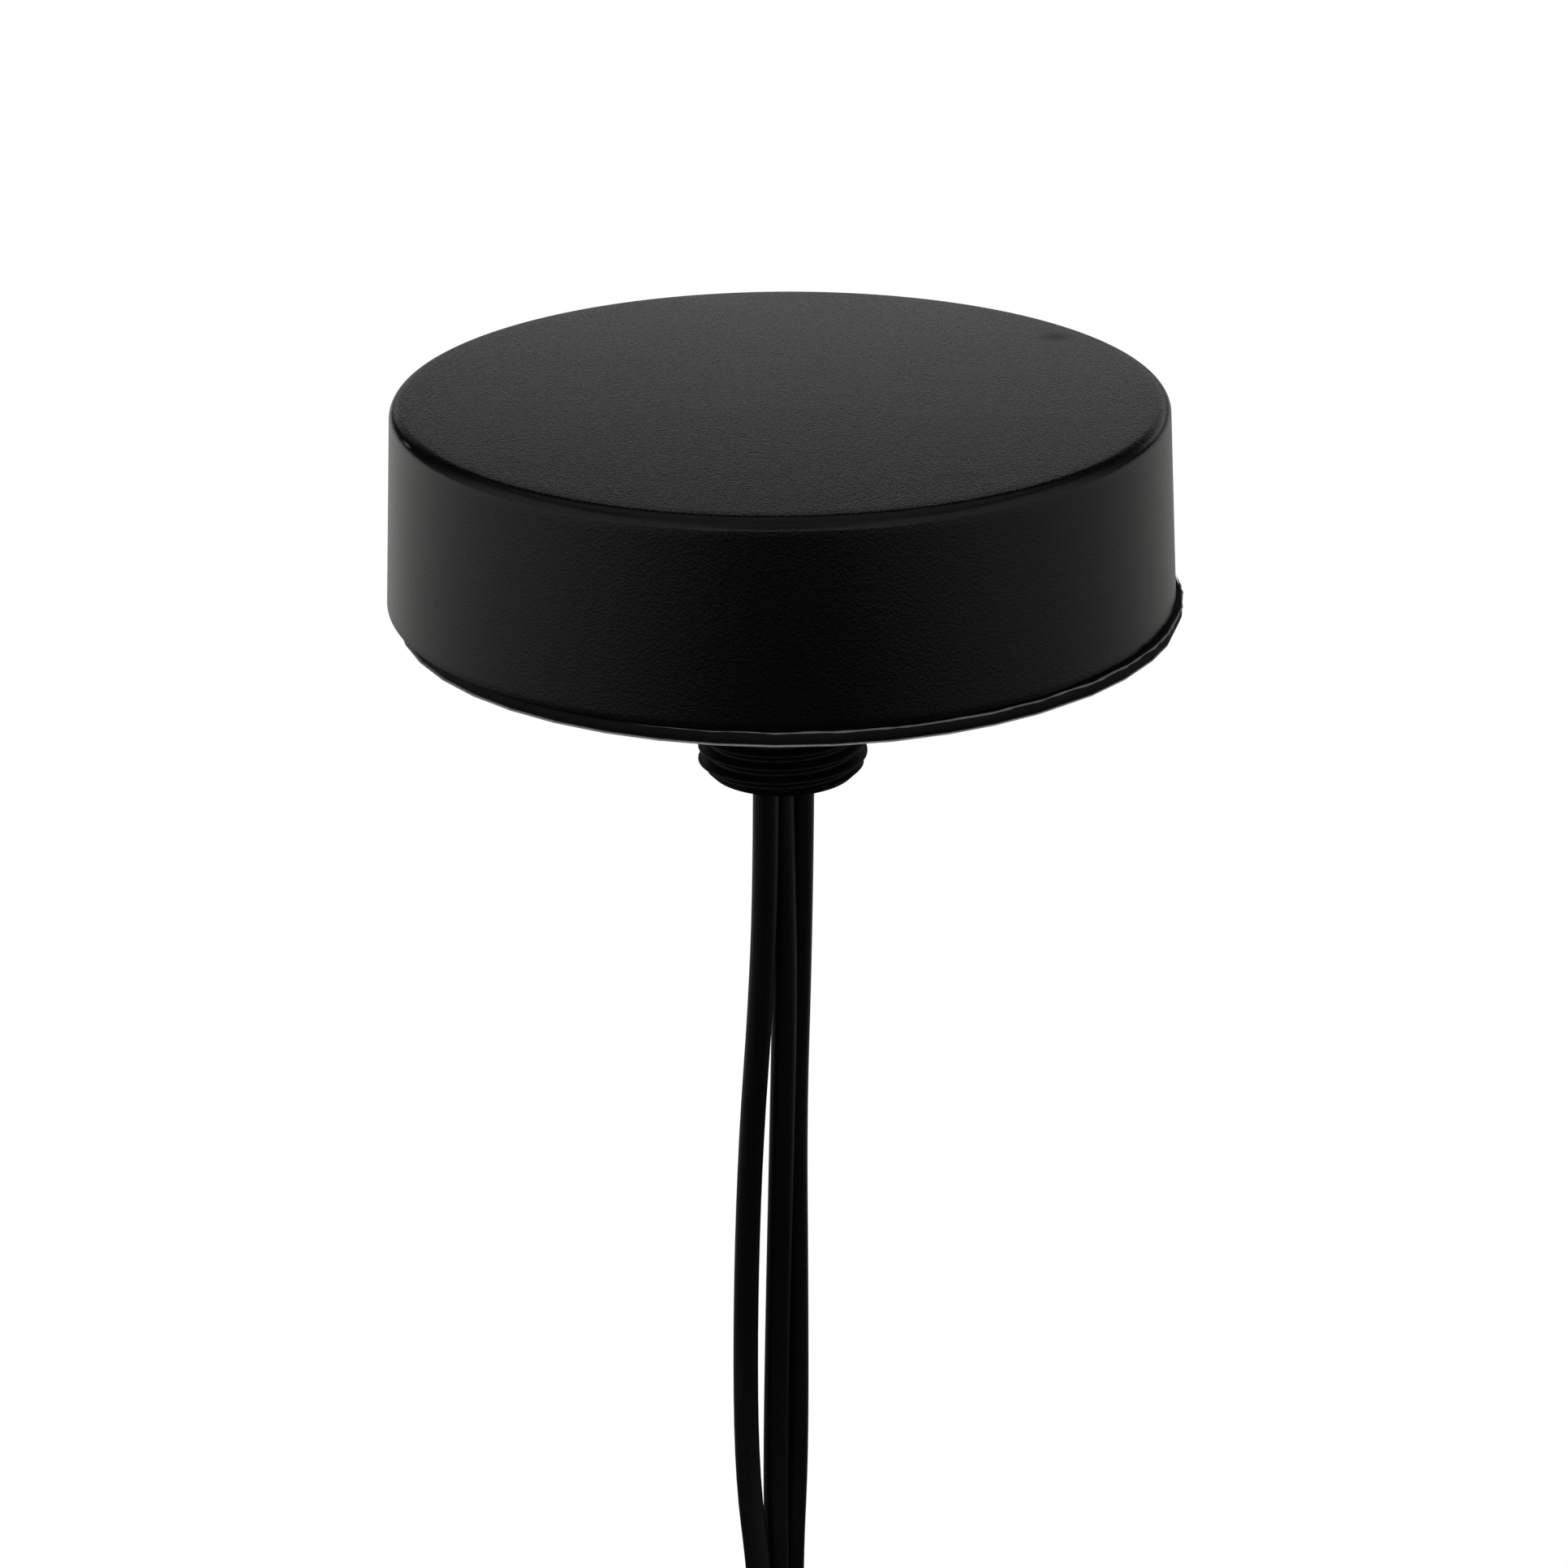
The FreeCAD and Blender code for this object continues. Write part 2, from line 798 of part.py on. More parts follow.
def plug_ferrule():
    """Sleeve crimped over the cable's braid."""
    return turned(
        [
            (ferrule_inner_r, shell_top),
            (ferrule_r, shell_top),
            (ferrule_r, ferrule_top),
            (ferrule_inner_r, ferrule_top),
        ]
    )


def plug_boot():
    """Shrunk sleeve over the ferrule and the cable's first millimetres."""
    return turned(
        [
            (ferrule_r, boot_low),
            (boot_r, boot_low),
            (boot_r, ferrule_top),
            (boot_end_r, boot_top),
            (cable_r + boot_gap, boot_top),
            (cable_r + boot_gap, ferrule_top),
            (ferrule_r, ferrule_top),
        ]
    )


def main():
    os.makedirs("parts", exist_ok=True)
    save(radome(), "radome")
    save(base(), "base")
    save(foam_pad(), "foam_pad")
    save(release_liner(), "release_liner")
    save(seal_ring(), "seal_ring")
    save(case_screws(), "case_screws")
    save(main_board(), "main_board")
    save(board_screws(), "board_screws")
    save(square_plate(patch_tape_size, board_top, patch_tape_thick), "patch_tape")
    save(square_plate(patch_size, board_top + patch_tape_thick, patch_thick), "patch_ceramic")
    print_low = board_top + patch_tape_thick + patch_thick
    save(square_plate(electrode_size, print_low, electrode_thick, electrode_corner), "patch_electrode")
    save(feed_pin(), "feed_pin")
    save(lna_shield(), "lna_shield")
    save(lna_chips(), "lna_chips")
    save(radiator(*CELLULAR_DEG), "cellular_radiator")
    save(radiator(*WIFI_DEG), "wifi_radiator")
    save(radiator_carrier(), "radiator_carrier")
    save(cable_clamp(), "cable_clamp")
    save(clamp_screws(), "clamp_screws")
    save(cable_bung(), "cable_bung")
    save(lead_terminals(), "lead_terminals")
    save(cable_coil(), "cable_coil")
    save(coil_tie(UPPER_TIE_DEG), "coil_tie_upper")
    save(coil_tie(LOWER_TIE_DEG), "coil_tie_lower")
    plug_parts = {
        "nut": plug_nut(),
        "shell": plug_shell(),
        "insulator": plug_insulator(),
        "contact": plug_contact(),
        "ferrule": plug_ferrule(),
        "boot": plug_boot(),
    }
    for name, lead in LEADS.items():
        save(inner_lead(lead, name), name + "_lead_inner")
        save(cable(lead["hang"], name + "_lead"), name + "_lead")
        save(cable(lead["tail"], name + "_tail"), name + "_tail")
        end = lead["tail"][-1]
        for piece, shape in plug_parts.items():
            placed = shape.copy()
            placed.translate(V(end.x, end.y, end.z - cable_end))
            save(placed, name + "_plug_" + piece)


main()
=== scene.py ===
import math

import bmesh
import bpy
import numpy as np
from mathutils import Matrix


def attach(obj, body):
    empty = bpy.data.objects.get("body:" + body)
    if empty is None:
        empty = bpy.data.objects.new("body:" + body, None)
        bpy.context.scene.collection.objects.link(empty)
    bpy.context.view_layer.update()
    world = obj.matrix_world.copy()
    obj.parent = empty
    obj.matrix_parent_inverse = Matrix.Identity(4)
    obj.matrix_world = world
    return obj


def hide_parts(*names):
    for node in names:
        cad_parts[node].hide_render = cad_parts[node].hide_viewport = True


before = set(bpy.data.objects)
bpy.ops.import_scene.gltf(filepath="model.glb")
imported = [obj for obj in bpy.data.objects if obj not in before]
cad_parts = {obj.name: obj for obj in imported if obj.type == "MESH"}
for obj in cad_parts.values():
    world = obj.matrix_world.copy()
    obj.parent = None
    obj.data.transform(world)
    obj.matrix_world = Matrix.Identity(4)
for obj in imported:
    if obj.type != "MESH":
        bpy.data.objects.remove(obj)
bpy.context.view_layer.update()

# Camera. It looks down at the case from a little above, from about half a metre, through a long lens.
camera_data = bpy.data.cameras.new("camera")
camera_data.lens = 106.35
camera_data.sensor_width = 36.0
camera_data.clip_start = 0.02
camera_data.clip_end = 20.0
camera = bpy.data.objects.new("camera", camera_data)
bpy.context.scene.collection.objects.link(camera)
camera.matrix_world = (
    Matrix.Translation((0.0001, -0.458, 0.1632))
    @ Matrix.Rotation(math.radians(68.16), 4, "X")
    @ Matrix.Rotation(math.radians(-0.46), 4, "Z")
)
bpy.context.scene.camera = camera

# Leads. Three thin coaxial cables in black vinyl hang out of the stud. Two metres of each are wound side
# by side into one flat coil, inwards along one face and outwards along the other, and end in a short tail.
MM = 0.001
LEAD_R = 1.4 * MM
WIND_PITCH = 2.85 * MM
WIND_INNER = 12.3 * MM
WIND_CENTRE = np.array([-0.1, 0.0, -161.0]) * MM
WIND_TURNS = 6.604
WIND_START = math.radians(74.9)
WIND_STEPS = 24
HANGING = {
    "gnss": [
        (-1.8, -2.5, -17.2),
        (-1.9, -2.4, -28.0),
        (-2.45, -2.25, -43.0),
        (-3.95, -1.95, -63.0),
        (-4.7, -2.3, -84.0),
        (-4.7, -4.2, -102.0),
        (-3.4, -6.3, -113.5),
        (-3.2, -7.1, -120.9),
        (-0.8, -7.13, -126.1),
        (3.65, -7.13, -129.8),
    ],
    "cellular": [
        (-0.25, 0.15, -17.2),
        (-0.15, 0.1, -28.0),
        (0.05, 0.05, -43.0),
        (-0.45, -0.1, -62.0),
        (-1.05, -0.2, -83.0),
        (-1.5, -1.8, -102.0),
        (-1.45, -3.6, -113.5),
        (-1.4, -4.25, -121.3),
        (1.03, -4.28, -126.5),
        (5.45, -4.28, -130.2),
    ],
    "wifi": [
        (2.0, 2.3, -17.2),
        (1.87, 2.35, -28.0),
        (1.55, 2.55, -43.0),
        (0.95, 2.6, -61.0),
        (1.0, 2.3, -82.0),
        (0.9, 1.1, -102.0),
        (0.3, -0.7, -113.5),
        (0.2, -1.4, -121.8),
        (2.6, -1.43, -127.0),
        (7.05, -1.43, -130.7),
    ],
}
TAILS = {
    "gnss": [(31.1, 1.2, -171.0), (30.5, -2.6, -183.2), (29.5, -7.0, -196.2), (29.5, -7.0, -209.6)],
    "cellular": [(31.2, 4.2, -173.0), (31.3, 3.2, -187.8), (31.0, 2.0, -204.3), (31.0, 2.0, -220.6)],
    "wifi": [(31.1, 7.4, -171.0), (30.6, 9.0, -183.6), (30.0, 11.0, -196.6), (30.0, 11.0, -209.6)],
}
LEAD_NAMES = ["gnss", "cellular", "wifi"]


def wound_points(strand):
    """Points of one strand's turns: the radius grows with the turn counted either way from the innermost
    one, and the strand steps across by three pitches, smoothly, over the half turn about it."""
    sweep = 2 * math.pi * WIND_TURNS
    inmost = WIND_START - sweep
    count = int(round((2 * sweep) * WIND_STEPS / (2 * math.pi)))
    step = 2 * sweep / count
    angle = WIND_START - step * (np.arange(count) + 0.5)
    radius = WIND_INNER + WIND_PITCH * np.abs(angle - inmost) / (2 * math.pi)
    radius = radius / math.cos(step / 2)
    crossing = np.clip((inmost + math.pi / 2 - angle) / math.pi, 0, 1)
    crossing = crossing * crossing * (3 - 2 * crossing)
    across = WIND_PITCH * (strand - 1 - 1.5 + 3 * crossing)
    across = across + 0.06 * MM * np.sin(3 * angle + 1.0)
    x = WIND_CENTRE[0] + radius * np.cos(angle)
    z = WIND_CENTRE[2] + radius * np.sin(angle)
    return np.stack([x, across, z], axis=1)


def lead_curve(name, points):
    """Smooth round line through space with the points as its control points."""
    line = bpy.data.curves.new(name, "CURVE")
    line.dimensions = "3D"
    line.bevel_depth = LEAD_R
    line.bevel_resolution = 3
    line.resolution_u = 5
    line.use_fill_caps = True
    spline = line.splines.new("NURBS")
    spline.points.add(len(points) - 1)
    spline.points.foreach_set("co", np.c_[points, np.ones(len(points))].ravel())
    spline.order_u = 3
    spline.use_endpoint_u = True
    lead = bpy.data.objects.new(name, line)
    bpy.context.scene.collection.objects.link(lead)
    return lead


def socketed_group(name, inputs, outputs):
    """Empty shader group with named float and colour sockets."""
    group = bpy.data.node_groups.new(name, "ShaderNodeTree")
    for label, kind, value in inputs:
        socket = group.interface.new_socket(name=label, in_out="INPUT", socket_type=kind)
        socket.default_value = value
    for label, kind in outputs:
        group.interface.new_socket(name=label, in_out="OUTPUT", socket_type=kind)
    return group


FLOAT = "NodeSocketFloat"
COLOUR = "NodeSocketColor"


def shader_step(tree, kind, operation, *given):
    """Output of one math or vector step; each given value is a plain one or the socket it comes from."""
    step = tree.nodes.new(kind)
    step.operation = operation
    for socket, value in zip(step.inputs, given):
        if isinstance(value, bpy.types.NodeSocket):
            tree.links.new(value, socket)
        else:
            socket.default_value = value
    return step.outputs["Value"] if operation == "LENGTH" else step.outputs[0]


def shader_ramp(tree, value, low, high, at_low, at_high, smooth=False):
    """Output that goes from at_low to at_high while the value goes from low to high, level past both."""
    ramp = tree.nodes.new("ShaderNodeMapRange")
    ramp.interpolation_type = "SMOOTHSTEP" if smooth else "LINEAR"
    ramp.inputs["From Min"].default_value = low
    ramp.inputs["From Max"].default_value = high
    ramp.inputs["To Min"].default_value = at_low
    ramp.inputs["To Max"].default_value = at_high
    tree.links.new(value, ramp.inputs["Value"])
    return ramp.outputs["Result"]


MATH = "ShaderNodeMath"
VECTOR = "ShaderNodeVectorMath"


def surface_group():
    """Colour, roughness and height of a worked surface: a fine grain, and broad cloudy patches where the
    colour and the gloss drift a little."""
    group = socketed_group(
        "worked_surface",
        [
            ("Colour", COLOUR, (0.5, 0.5, 0.5, 1)),
            ("Worn colour", COLOUR, (0.6, 0.6, 0.6, 1)),
            ("Roughness", FLOAT, 0.5),
            ("Grain size", FLOAT, 0.3),
            ("Cloud size", FLOAT, 12.0),
            ("Cloud amount", FLOAT, 0.3),
        ],
        [("Colour", COLOUR), ("Roughness", FLOAT), ("Height", FLOAT)],
    )
    link = group.links.new
    given = group.nodes.new("NodeGroupInput").outputs
    result = group.nodes.new("NodeGroupOutput").inputs
    place = group.nodes.new("ShaderNodeTexCoord").outputs["Object"]
    in_mm = group.nodes.new(VECTOR)
    in_mm.operation = "SCALE"
    in_mm.inputs["Scale"].default_value = 1 / MM
    link(place, in_mm.inputs[0])
    noises = []
    for label, detail in (("Grain size", 2.0), ("Cloud size", 4.0)):
        noise = group.nodes.new("ShaderNodeTexNoise")
        noise.inputs["Detail"].default_value = detail
        link(in_mm.outputs[0], noise.inputs["Vector"])
        link(shader_step(group, MATH, "DIVIDE", 1.0, given[label]), noise.inputs["Scale"])
        noises.append(noise.outputs["Fac"])
    grain, cloud = noises
    patch = shader_ramp(group, cloud, 0.42, 0.72, 0.0, 1.0)
    share = shader_step(group, MATH, "MULTIPLY", patch, given["Cloud amount"])
    mixed = group.nodes.new("ShaderNodeMix")
    mixed.data_type = "RGBA"
    link(share, mixed.inputs["Factor"])
    link(given["Colour"], mixed.inputs[6])
    link(given["Worn colour"], mixed.inputs[7])
    tinted = group.nodes.new(VECTOR)
    tinted.operation = "SCALE"
    link(mixed.outputs[2], tinted.inputs[0])
    link(shader_ramp(group, grain, 0.3, 0.7, 0.86, 1.14), tinted.inputs["Scale"])
    link(tinted.outputs[0], result["Colour"])
    gloss = shader_step(group, MATH, "MULTIPLY_ADD", share, -0.12, given["Roughness"])
    link(shader_step(group, MATH, "MULTIPLY_ADD", grain, 0.08, gloss), result["Roughness"])
    link(grain, result["Height"])
    return group


WORKED = surface_group()


def finish_material(
    name,
    colour,
    roughness,
    grain,
    depth_um,
    metallic=0.0,
    worn=None,
    cloud=12.0,
    cloud_amount=0.3,
    specular=0.5,
):
    """Material with the worked surface's colour and roughness and its grain as relief. Grain and cloud
    sizes are in millimetres, the relief's depth in thousandths of one."""
    material = bpy.data.materials.new(name)
    material.use_nodes = True
    tree = material.node_tree
    shader = tree.nodes["Principled BSDF"]
    shader.inputs["Metallic"].default_value = metallic
    shader.inputs["Specular IOR Level"].default_value = specular
    worked = tree.nodes.new("ShaderNodeGroup")
    worked.node_tree = WORKED
    worked.name = "worked"
    worked.inputs["Colour"].default_value = (*colour, 1)
    worked.inputs["Worn colour"].default_value = (*(worn or [min(1, 1.5 * c + 0.004) for c in colour]), 1)
    worked.inputs["Roughness"].default_value = roughness
    worked.inputs["Grain size"].default_value = grain
    worked.inputs["Cloud size"].default_value = cloud
    worked.inputs["Cloud amount"].default_value = cloud_amount
    bump = tree.nodes.new("ShaderNodeBump")
    bump.name = "relief"
    bump.inputs["Distance"].default_value = depth_um * 1e-6
    tree.links.new(worked.outputs["Colour"], shader.inputs["Base Color"])
    tree.links.new(worked.outputs["Roughness"], shader.inputs["Roughness"])
    tree.links.new(worked.outputs["Height"], bump.inputs["Height"])
    tree.links.new(bump.outputs["Normal"], shader.inputs["Normal"])
    return material


jacket = finish_material(
    "cable_jacket", (0.003, 0.003, 0.0032), 0.34, 0.5, 7, cloud=9.0, cloud_amount=0.4, specular=0.35
)
for strand, name in enumerate(LEAD_NAMES):
    route = np.concatenate(
        [np.array(HANGING[name]) * MM, wound_points(strand), np.array(TAILS[name]) * MM]
    )
    lead = lead_curve(name + "_cable", route)
    lead.data.materials.append(jacket)
    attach(lead, "antenna")
    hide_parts(name + "_lead", name + "_tail", "cable_coil")

# Plugs. Each lead ends in a small gold-plated screw-on coaxial plug: a turned shell round a white
# insulator and a centre pin, a crimped ferrule on the cable, and a shrunk black sleeve over both.
PLUG_ENDS = {name: TAILS[name][-1] for name in LEAD_NAMES}
CABLE_END = 8.7


def carried_round(radius, height, sides, axis, join=False):
    """Profile carried round an upright axis: point (i, j) stands at radius[i, j] from the axis, at the
    angle 2 pi j / sides, at height[i, j]. A row of no radius is one pole. join closes the last row to
    the first."""
    radius = np.asarray(radius, float)
    height = np.asarray(height, float)
    rows = len(radius)
    radius = np.broadcast_to(radius.reshape(rows, -1), (rows, sides))
    height = np.broadcast_to(height.reshape(rows, -1), (rows, sides))
    angle = np.arange(sides) * 2 * np.pi / sides
    points = np.stack(
        [axis[0] + radius * np.cos(angle), axis[1] + radius * np.sin(angle), height], axis=-1
    )
    number = np.arange(rows * sides).reshape(rows, sides)
    pole = np.all(radius == 0, axis=1)
    number = np.where(pole[:, None], number[:, :1], number)
    return points.reshape(-1, 3), grid_faces(number, join, True)


def grid_faces(number, join_rows, join_columns):
    """Four-sided faces between the neighbours of a grid of point numbers, closed either way if asked."""
    below = np.roll(number, -1, axis=0)
    if not join_rows:
        number, below = number[:-1], below[:-1]
    right, below_right = np.roll(number, -1, axis=1), np.roll(below, -1, axis=1)
    quads = np.stack([number, right, below_right, below], axis=-1)
    if not join_columns:
        quads = quads[:, :-1]
    return quads.reshape(-1, 4)


def solid(name, pieces, sharp_degrees=35.0):
    """One mesh from closed surfaces, each a pair of points in millimetres and four-sided faces. A face
    with two corners on one pole becomes a triangle, unused points go, and each surface is turned to
    face outwards by the sign of its volume."""
    points, faces, start = [], [], 0
    for place, quads in pieces:
        place = np.asarray(place, float)
        a, b, c, d = (place[quads[:, i]] for i in range(4))
        volume = np.einsum("ij,ij->", a, np.cross(b, c)) + np.einsum("ij,ij->", a, np.cross(c, d))
        if volume < 0:
            quads = quads[:, ::-1]
        for quad in quads.tolist():
            corners = [p for i, p in enumerate(quad) if p != quad[i - 1]]
            if len(corners) > 2:
                faces.append([p + start for p in corners])
        points.append(place)
        start += len(place)
    points = np.concatenate(points) * MM
    used = np.unique(np.concatenate([np.asarray(f) for f in faces]))
    renumber = np.zeros(len(points), int)
    renumber[used] = np.arange(len(used))
    mesh = bpy.data.meshes.new(name)
    mesh.from_pydata(points[used].tolist(), [], [[int(renumber[p]) for p in f] for f in faces])
    mesh.shade_smooth()
    mesh.set_sharp_from_angle(angle=math.radians(sharp_degrees))
    made = bpy.data.objects.new(name, mesh)
    bpy.context.scene.collection.objects.link(made)
    return made


def dress(piece, material, slot, body, *stands_for):
    """Gives a finished piece its material, its body and the nodes it stands for. The slot is not used."""
    piece.data.materials.append(material)
    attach(piece, body)
    if stands_for:
        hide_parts(*stands_for)
    return piece


def smooth_profile(corners, bevel, steps=3):
    """Closed profile whose corners are cut to small arcs: each corner gives way to points on the curve
    (1-t)^2 a + 2 t (1-t) corner + t^2 b between a and b, a bevel away from it on both sides."""
    corners = np.asarray(corners, float)
    before, after = np.roll(corners, 1, axis=0), np.roll(corners, -1, axis=0)
    t = np.linspace(0, 1, steps + 1)[:, None]
    out = []
    for p, corner, n in zip(before, corners, after):
        reach_in = min(bevel, 0.45 * np.linalg.norm(p - corner))
        reach_out = min(bevel, 0.45 * np.linalg.norm(n - corner))
        a = corner + (p - corner) / np.linalg.norm(p - corner) * reach_in
        b = corner + (n - corner) / np.linalg.norm(n - corner) * reach_out
        out.append((1 - t) ** 2 * a + 2 * t * (1 - t) * corner + t**2 * b)
    return np.concatenate(out)


gold = finish_material(
    "plug_gold", (0.80, 0.56, 0.22), 0.24, 0.35, 3, metallic=1.0, worn=(0.70, 0.47, 0.17), cloud=5.0
)
pin_gold = finish_material(
    "contact_gold", (0.86, 0.62, 0.25), 0.16, 0.3, 1.5, metallic=1.0, worn=(0.8, 0.55, 0.2), cloud=4.0
)
nickel = finish_material(
    "ferrule_nickel", (0.62, 0.60, 0.56), 0.3, 0.3, 4, metallic=1.0, worn=(0.5, 0.48, 0.44), cloud=4.0
)
insulator_white = finish_material(
    "insulator_white", (0.78, 0.78, 0.75), 0.38, 0.25, 4, worn=(0.7, 0.69, 0.64), cloud=3.0
)
shrunk = finish_material("boot_rubber", (0.008, 0.008, 0.0085), 0.5, 0.4, 18, cloud=5.0, specular=0.35)

HEX_SIDES = 180
NUT_MOUTH, NUT_HEX_TOP, NUT_TOP = -4.4, 3.4, 5.0
NUT_FLATS, NUT_COLLAR, NUT_PITCH = 8.0, 3.9, 0.7


def plug_nut(name, x, y, z):
    """Coupling nut. The outside is the nearer of a hexagon and the cones that turn off its corners; the
    bore has a triangular thread whose crest runs once round for each 0.7 mm."""
    angle = np.arange(HEX_SIDES) * 2 * np.pi / HEX_SIDES
    hexagon = NUT_FLATS / 2 / np.cos((angle % (np.pi / 3)) - np.pi / 6)
    rim = NUT_FLATS / 2 + 0.05
    heights = np.concatenate(
        [
            np.linspace(NUT_MOUTH, NUT_MOUTH + 0.6, 11),
            np.linspace(-3.6, 2.6, 7),
            np.linspace(NUT_HEX_TOP - 0.6, NUT_HEX_TOP, 11),
        ]
    )
    cone = rim + np.minimum(heights - NUT_MOUTH, NUT_HEX_TOP - heights)
    outside = np.minimum(hexagon[None, :], cone[:, None])
    collar_h = np.array([NUT_HEX_TOP, 3.5, 3.62, 3.74, 4.1, 4.22, 4.34, 4.7, 4.85, NUT_TOP])
    collar_r = NUT_COLLAR - np.array([0, 0, 0, 0.12, 0.12, 0, 0, 0, 0.05, 0.2])
    lip_r = np.array([2.66, 2.65, 2.65, 3.2, 3.2])
    lip_h = np.array([NUT_TOP, 4.9, 3.6, 3.6, -1.6])
    thread_h = np.linspace(-1.7, NUT_MOUTH + 0.35, 28)
    phase = thread_h[:, None] / NUT_PITCH + angle[None, :] / (2 * np.pi)
    ridge = np.abs((phase % 1.0) - 0.5) * 2
    fade = np.clip((thread_h - NUT_MOUTH - 0.3) / 0.5, 0, 1)[:, None]
    thread_r = 2.85 + (0.18 * ridge - 0.05) * fade + 0.12 * (1 - fade)
    mouth_r = np.array([3.2])
    full = np.ones(HEX_SIDES)
    radius = np.concatenate(
        [
            outside,
            collar_r[:, None] * full,
            lip_r[:, None] * full,
            thread_r,
            mouth_r[:, None] * full,
        ]
    )
    height = np.concatenate([heights, collar_h, lip_h, thread_h, [NUT_MOUTH]]) + z
    surface = carried_round(radius, height, HEX_SIDES, (x, y), join=True)
    return solid(name, [surface], 30.0)


def turned_part(name, corners, bevel, x, y, z, sides=72):
    """Turned part: a closed profile of (radius, height) corners, softened and carried round."""
    profile = smooth_profile(corners, bevel)
    return solid(name, [carried_round(profile[:, 0], profile[:, 1] + z, sides, (x, y), join=True)])


def plug_pin(name, x, y, z):
    """Centre contact: a rod with a rounded nose, from pole to pole."""
    bend = np.linspace(0, np.pi / 2, 8)
    radius = np.concatenate([0.455 * np.sin(bend), [0.455, 0.455, 0]])
    height = np.concatenate([-1.2 - 0.3 * np.cos(bend), [0.0, 7.0, 7.0]])
    return solid(name, [carried_round(radius, height + z, 40, (x, y))])


def plug_boot(name, x, y, z):
    """Shrunk sleeve: a tube whose outside follows the ferrule's six crimped flats softly, narrows on to
    the cable, and has faint rings where it drew in."""
    sides = 96
    angle = np.arange(sides) * 2 * np.pi / sides
    h = np.linspace(9.0, 17.0, 41)
    wall = np.interp(h, [9.0, 9.15, 14.2, 15.6, 17.0], [2.56, 2.65, 2.62, 2.2, 1.93])
    crimp = np.exp(-(((h - 11.8) / 1.6) ** 2))
    ring = 0.025 * np.sin(h * 5.1) * np.exp(-(((h - 15.6) / 0.9) ** 2))
    outside = wall[:, None] - 0.1 * crimp[:, None] * (0.5 + 0.5 * np.cos(6 * angle))[None, :]
    outside = outside + ring[:, None]
    inner_r = np.array([1.45, 1.45, 2.1, 2.1])
    inner_h = np.array([17.0, 14.5, 14.5, 9.0])
    radius = np.concatenate([outside, inner_r[:, None] * np.ones(sides)])
    height = np.concatenate([h, inner_h]) + z
    return solid(name, [carried_round(radius, height, sides, (x, y), join=True)], 50.0)


def plug_ferrule(name, x, y, z):
    """Crimped sleeve: round at its ends, pressed to six flats in the middle."""
    sides = 96
    angle = np.arange(sides) * 2 * np.pi / sides
    h = np.linspace(8.5, 14.5, 31)
    flat = 1.93 / np.cos((angle % (np.pi / 3)) - np.pi / 6)
    pressed = np.clip(1.0 - ((h - 11.8) / 1.9) ** 4, 0, 1)[:, None]
    outside = 2.1 * (1 - pressed) + np.minimum(2.1, flat)[None, :] * pressed
    inner_r = np.array([1.45, 1.45])
    radius = np.concatenate([outside, inner_r[:, None] * np.ones(sides)])
    height = np.concatenate([h, [14.5, 8.5]]) + z
    return solid(name, [carried_round(radius, height, sides, (x, y), join=True)], 50.0)


SHELL_CORNERS = [
    (2.05, 0.0),
    (2.3, 0.0),
    (2.3, 2.6),
    (3.05, 2.6),
    (3.05, 3.4),
    (2.6, 3.4),
    (2.6, 5.25),
    (3.2, 5.25),
    (3.2, 6.2),
    (3.05, 6.35),
    (3.05, 6.65),
    (3.2, 6.8),
    (3.2, 8.1),
    (2.8, 8.5),
    (0.755, 8.5),
    (0.755, 6.0),
    (2.05, 6.0),
]
INSULATOR_CORNERS = [(0.455, 0.0), (2.05, 0.0), (2.05, 6.0), (0.455, 6.0)]
for name in LEAD_NAMES:
    end_x, end_y, end_z = PLUG_ENDS[name]
    at = (end_x, end_y, end_z - CABLE_END)
    node_name = name + "_plug_"
    nut = plug_nut(name + "_coupling_nut", *at)
    dress(nut, gold, "plug_gold", name + "_nut", node_name + "nut")
    shell = turned_part(name + "_plug_body", SHELL_CORNERS, 0.05, *at)
    dress(shell, gold, "plug_gold", "antenna", node_name + "shell")
    core = turned_part(name + "_plug_core", INSULATOR_CORNERS, 0.05, *at)
    dress(core, insulator_white, "insulator_white", "antenna", node_name + "insulator")
    pin = plug_pin(name + "_plug_pin", *at)
    dress(pin, pin_gold, "contact_gold", "antenna", node_name + "contact")
    crimp = plug_ferrule(name + "_plug_crimp", *at)
    dress(crimp, nickel, "ferrule_nickel", "antenna", node_name + "ferrule")
    sleeve = plug_boot(name + "_plug_sleeve", *at)
    dress(sleeve, shrunk, "boot_rubber", "antenna", node_name + "boot")

# Ties. Two woven hook-and-loop straps hold the coil's turns together, each once round its section with
# the end lapped over on the outside.
tie_weave = finish_material("tie_fabric", (0.011, 0.011, 0.012), 0.85, 0.35, 60, cloud=4.0, specular=0.2)
TIE_WIDE = 7.0
TIE_THICK = 0.55
COIL_IN, COIL_OUT, COIL_HALF = 10.9, 32.52, 8.55


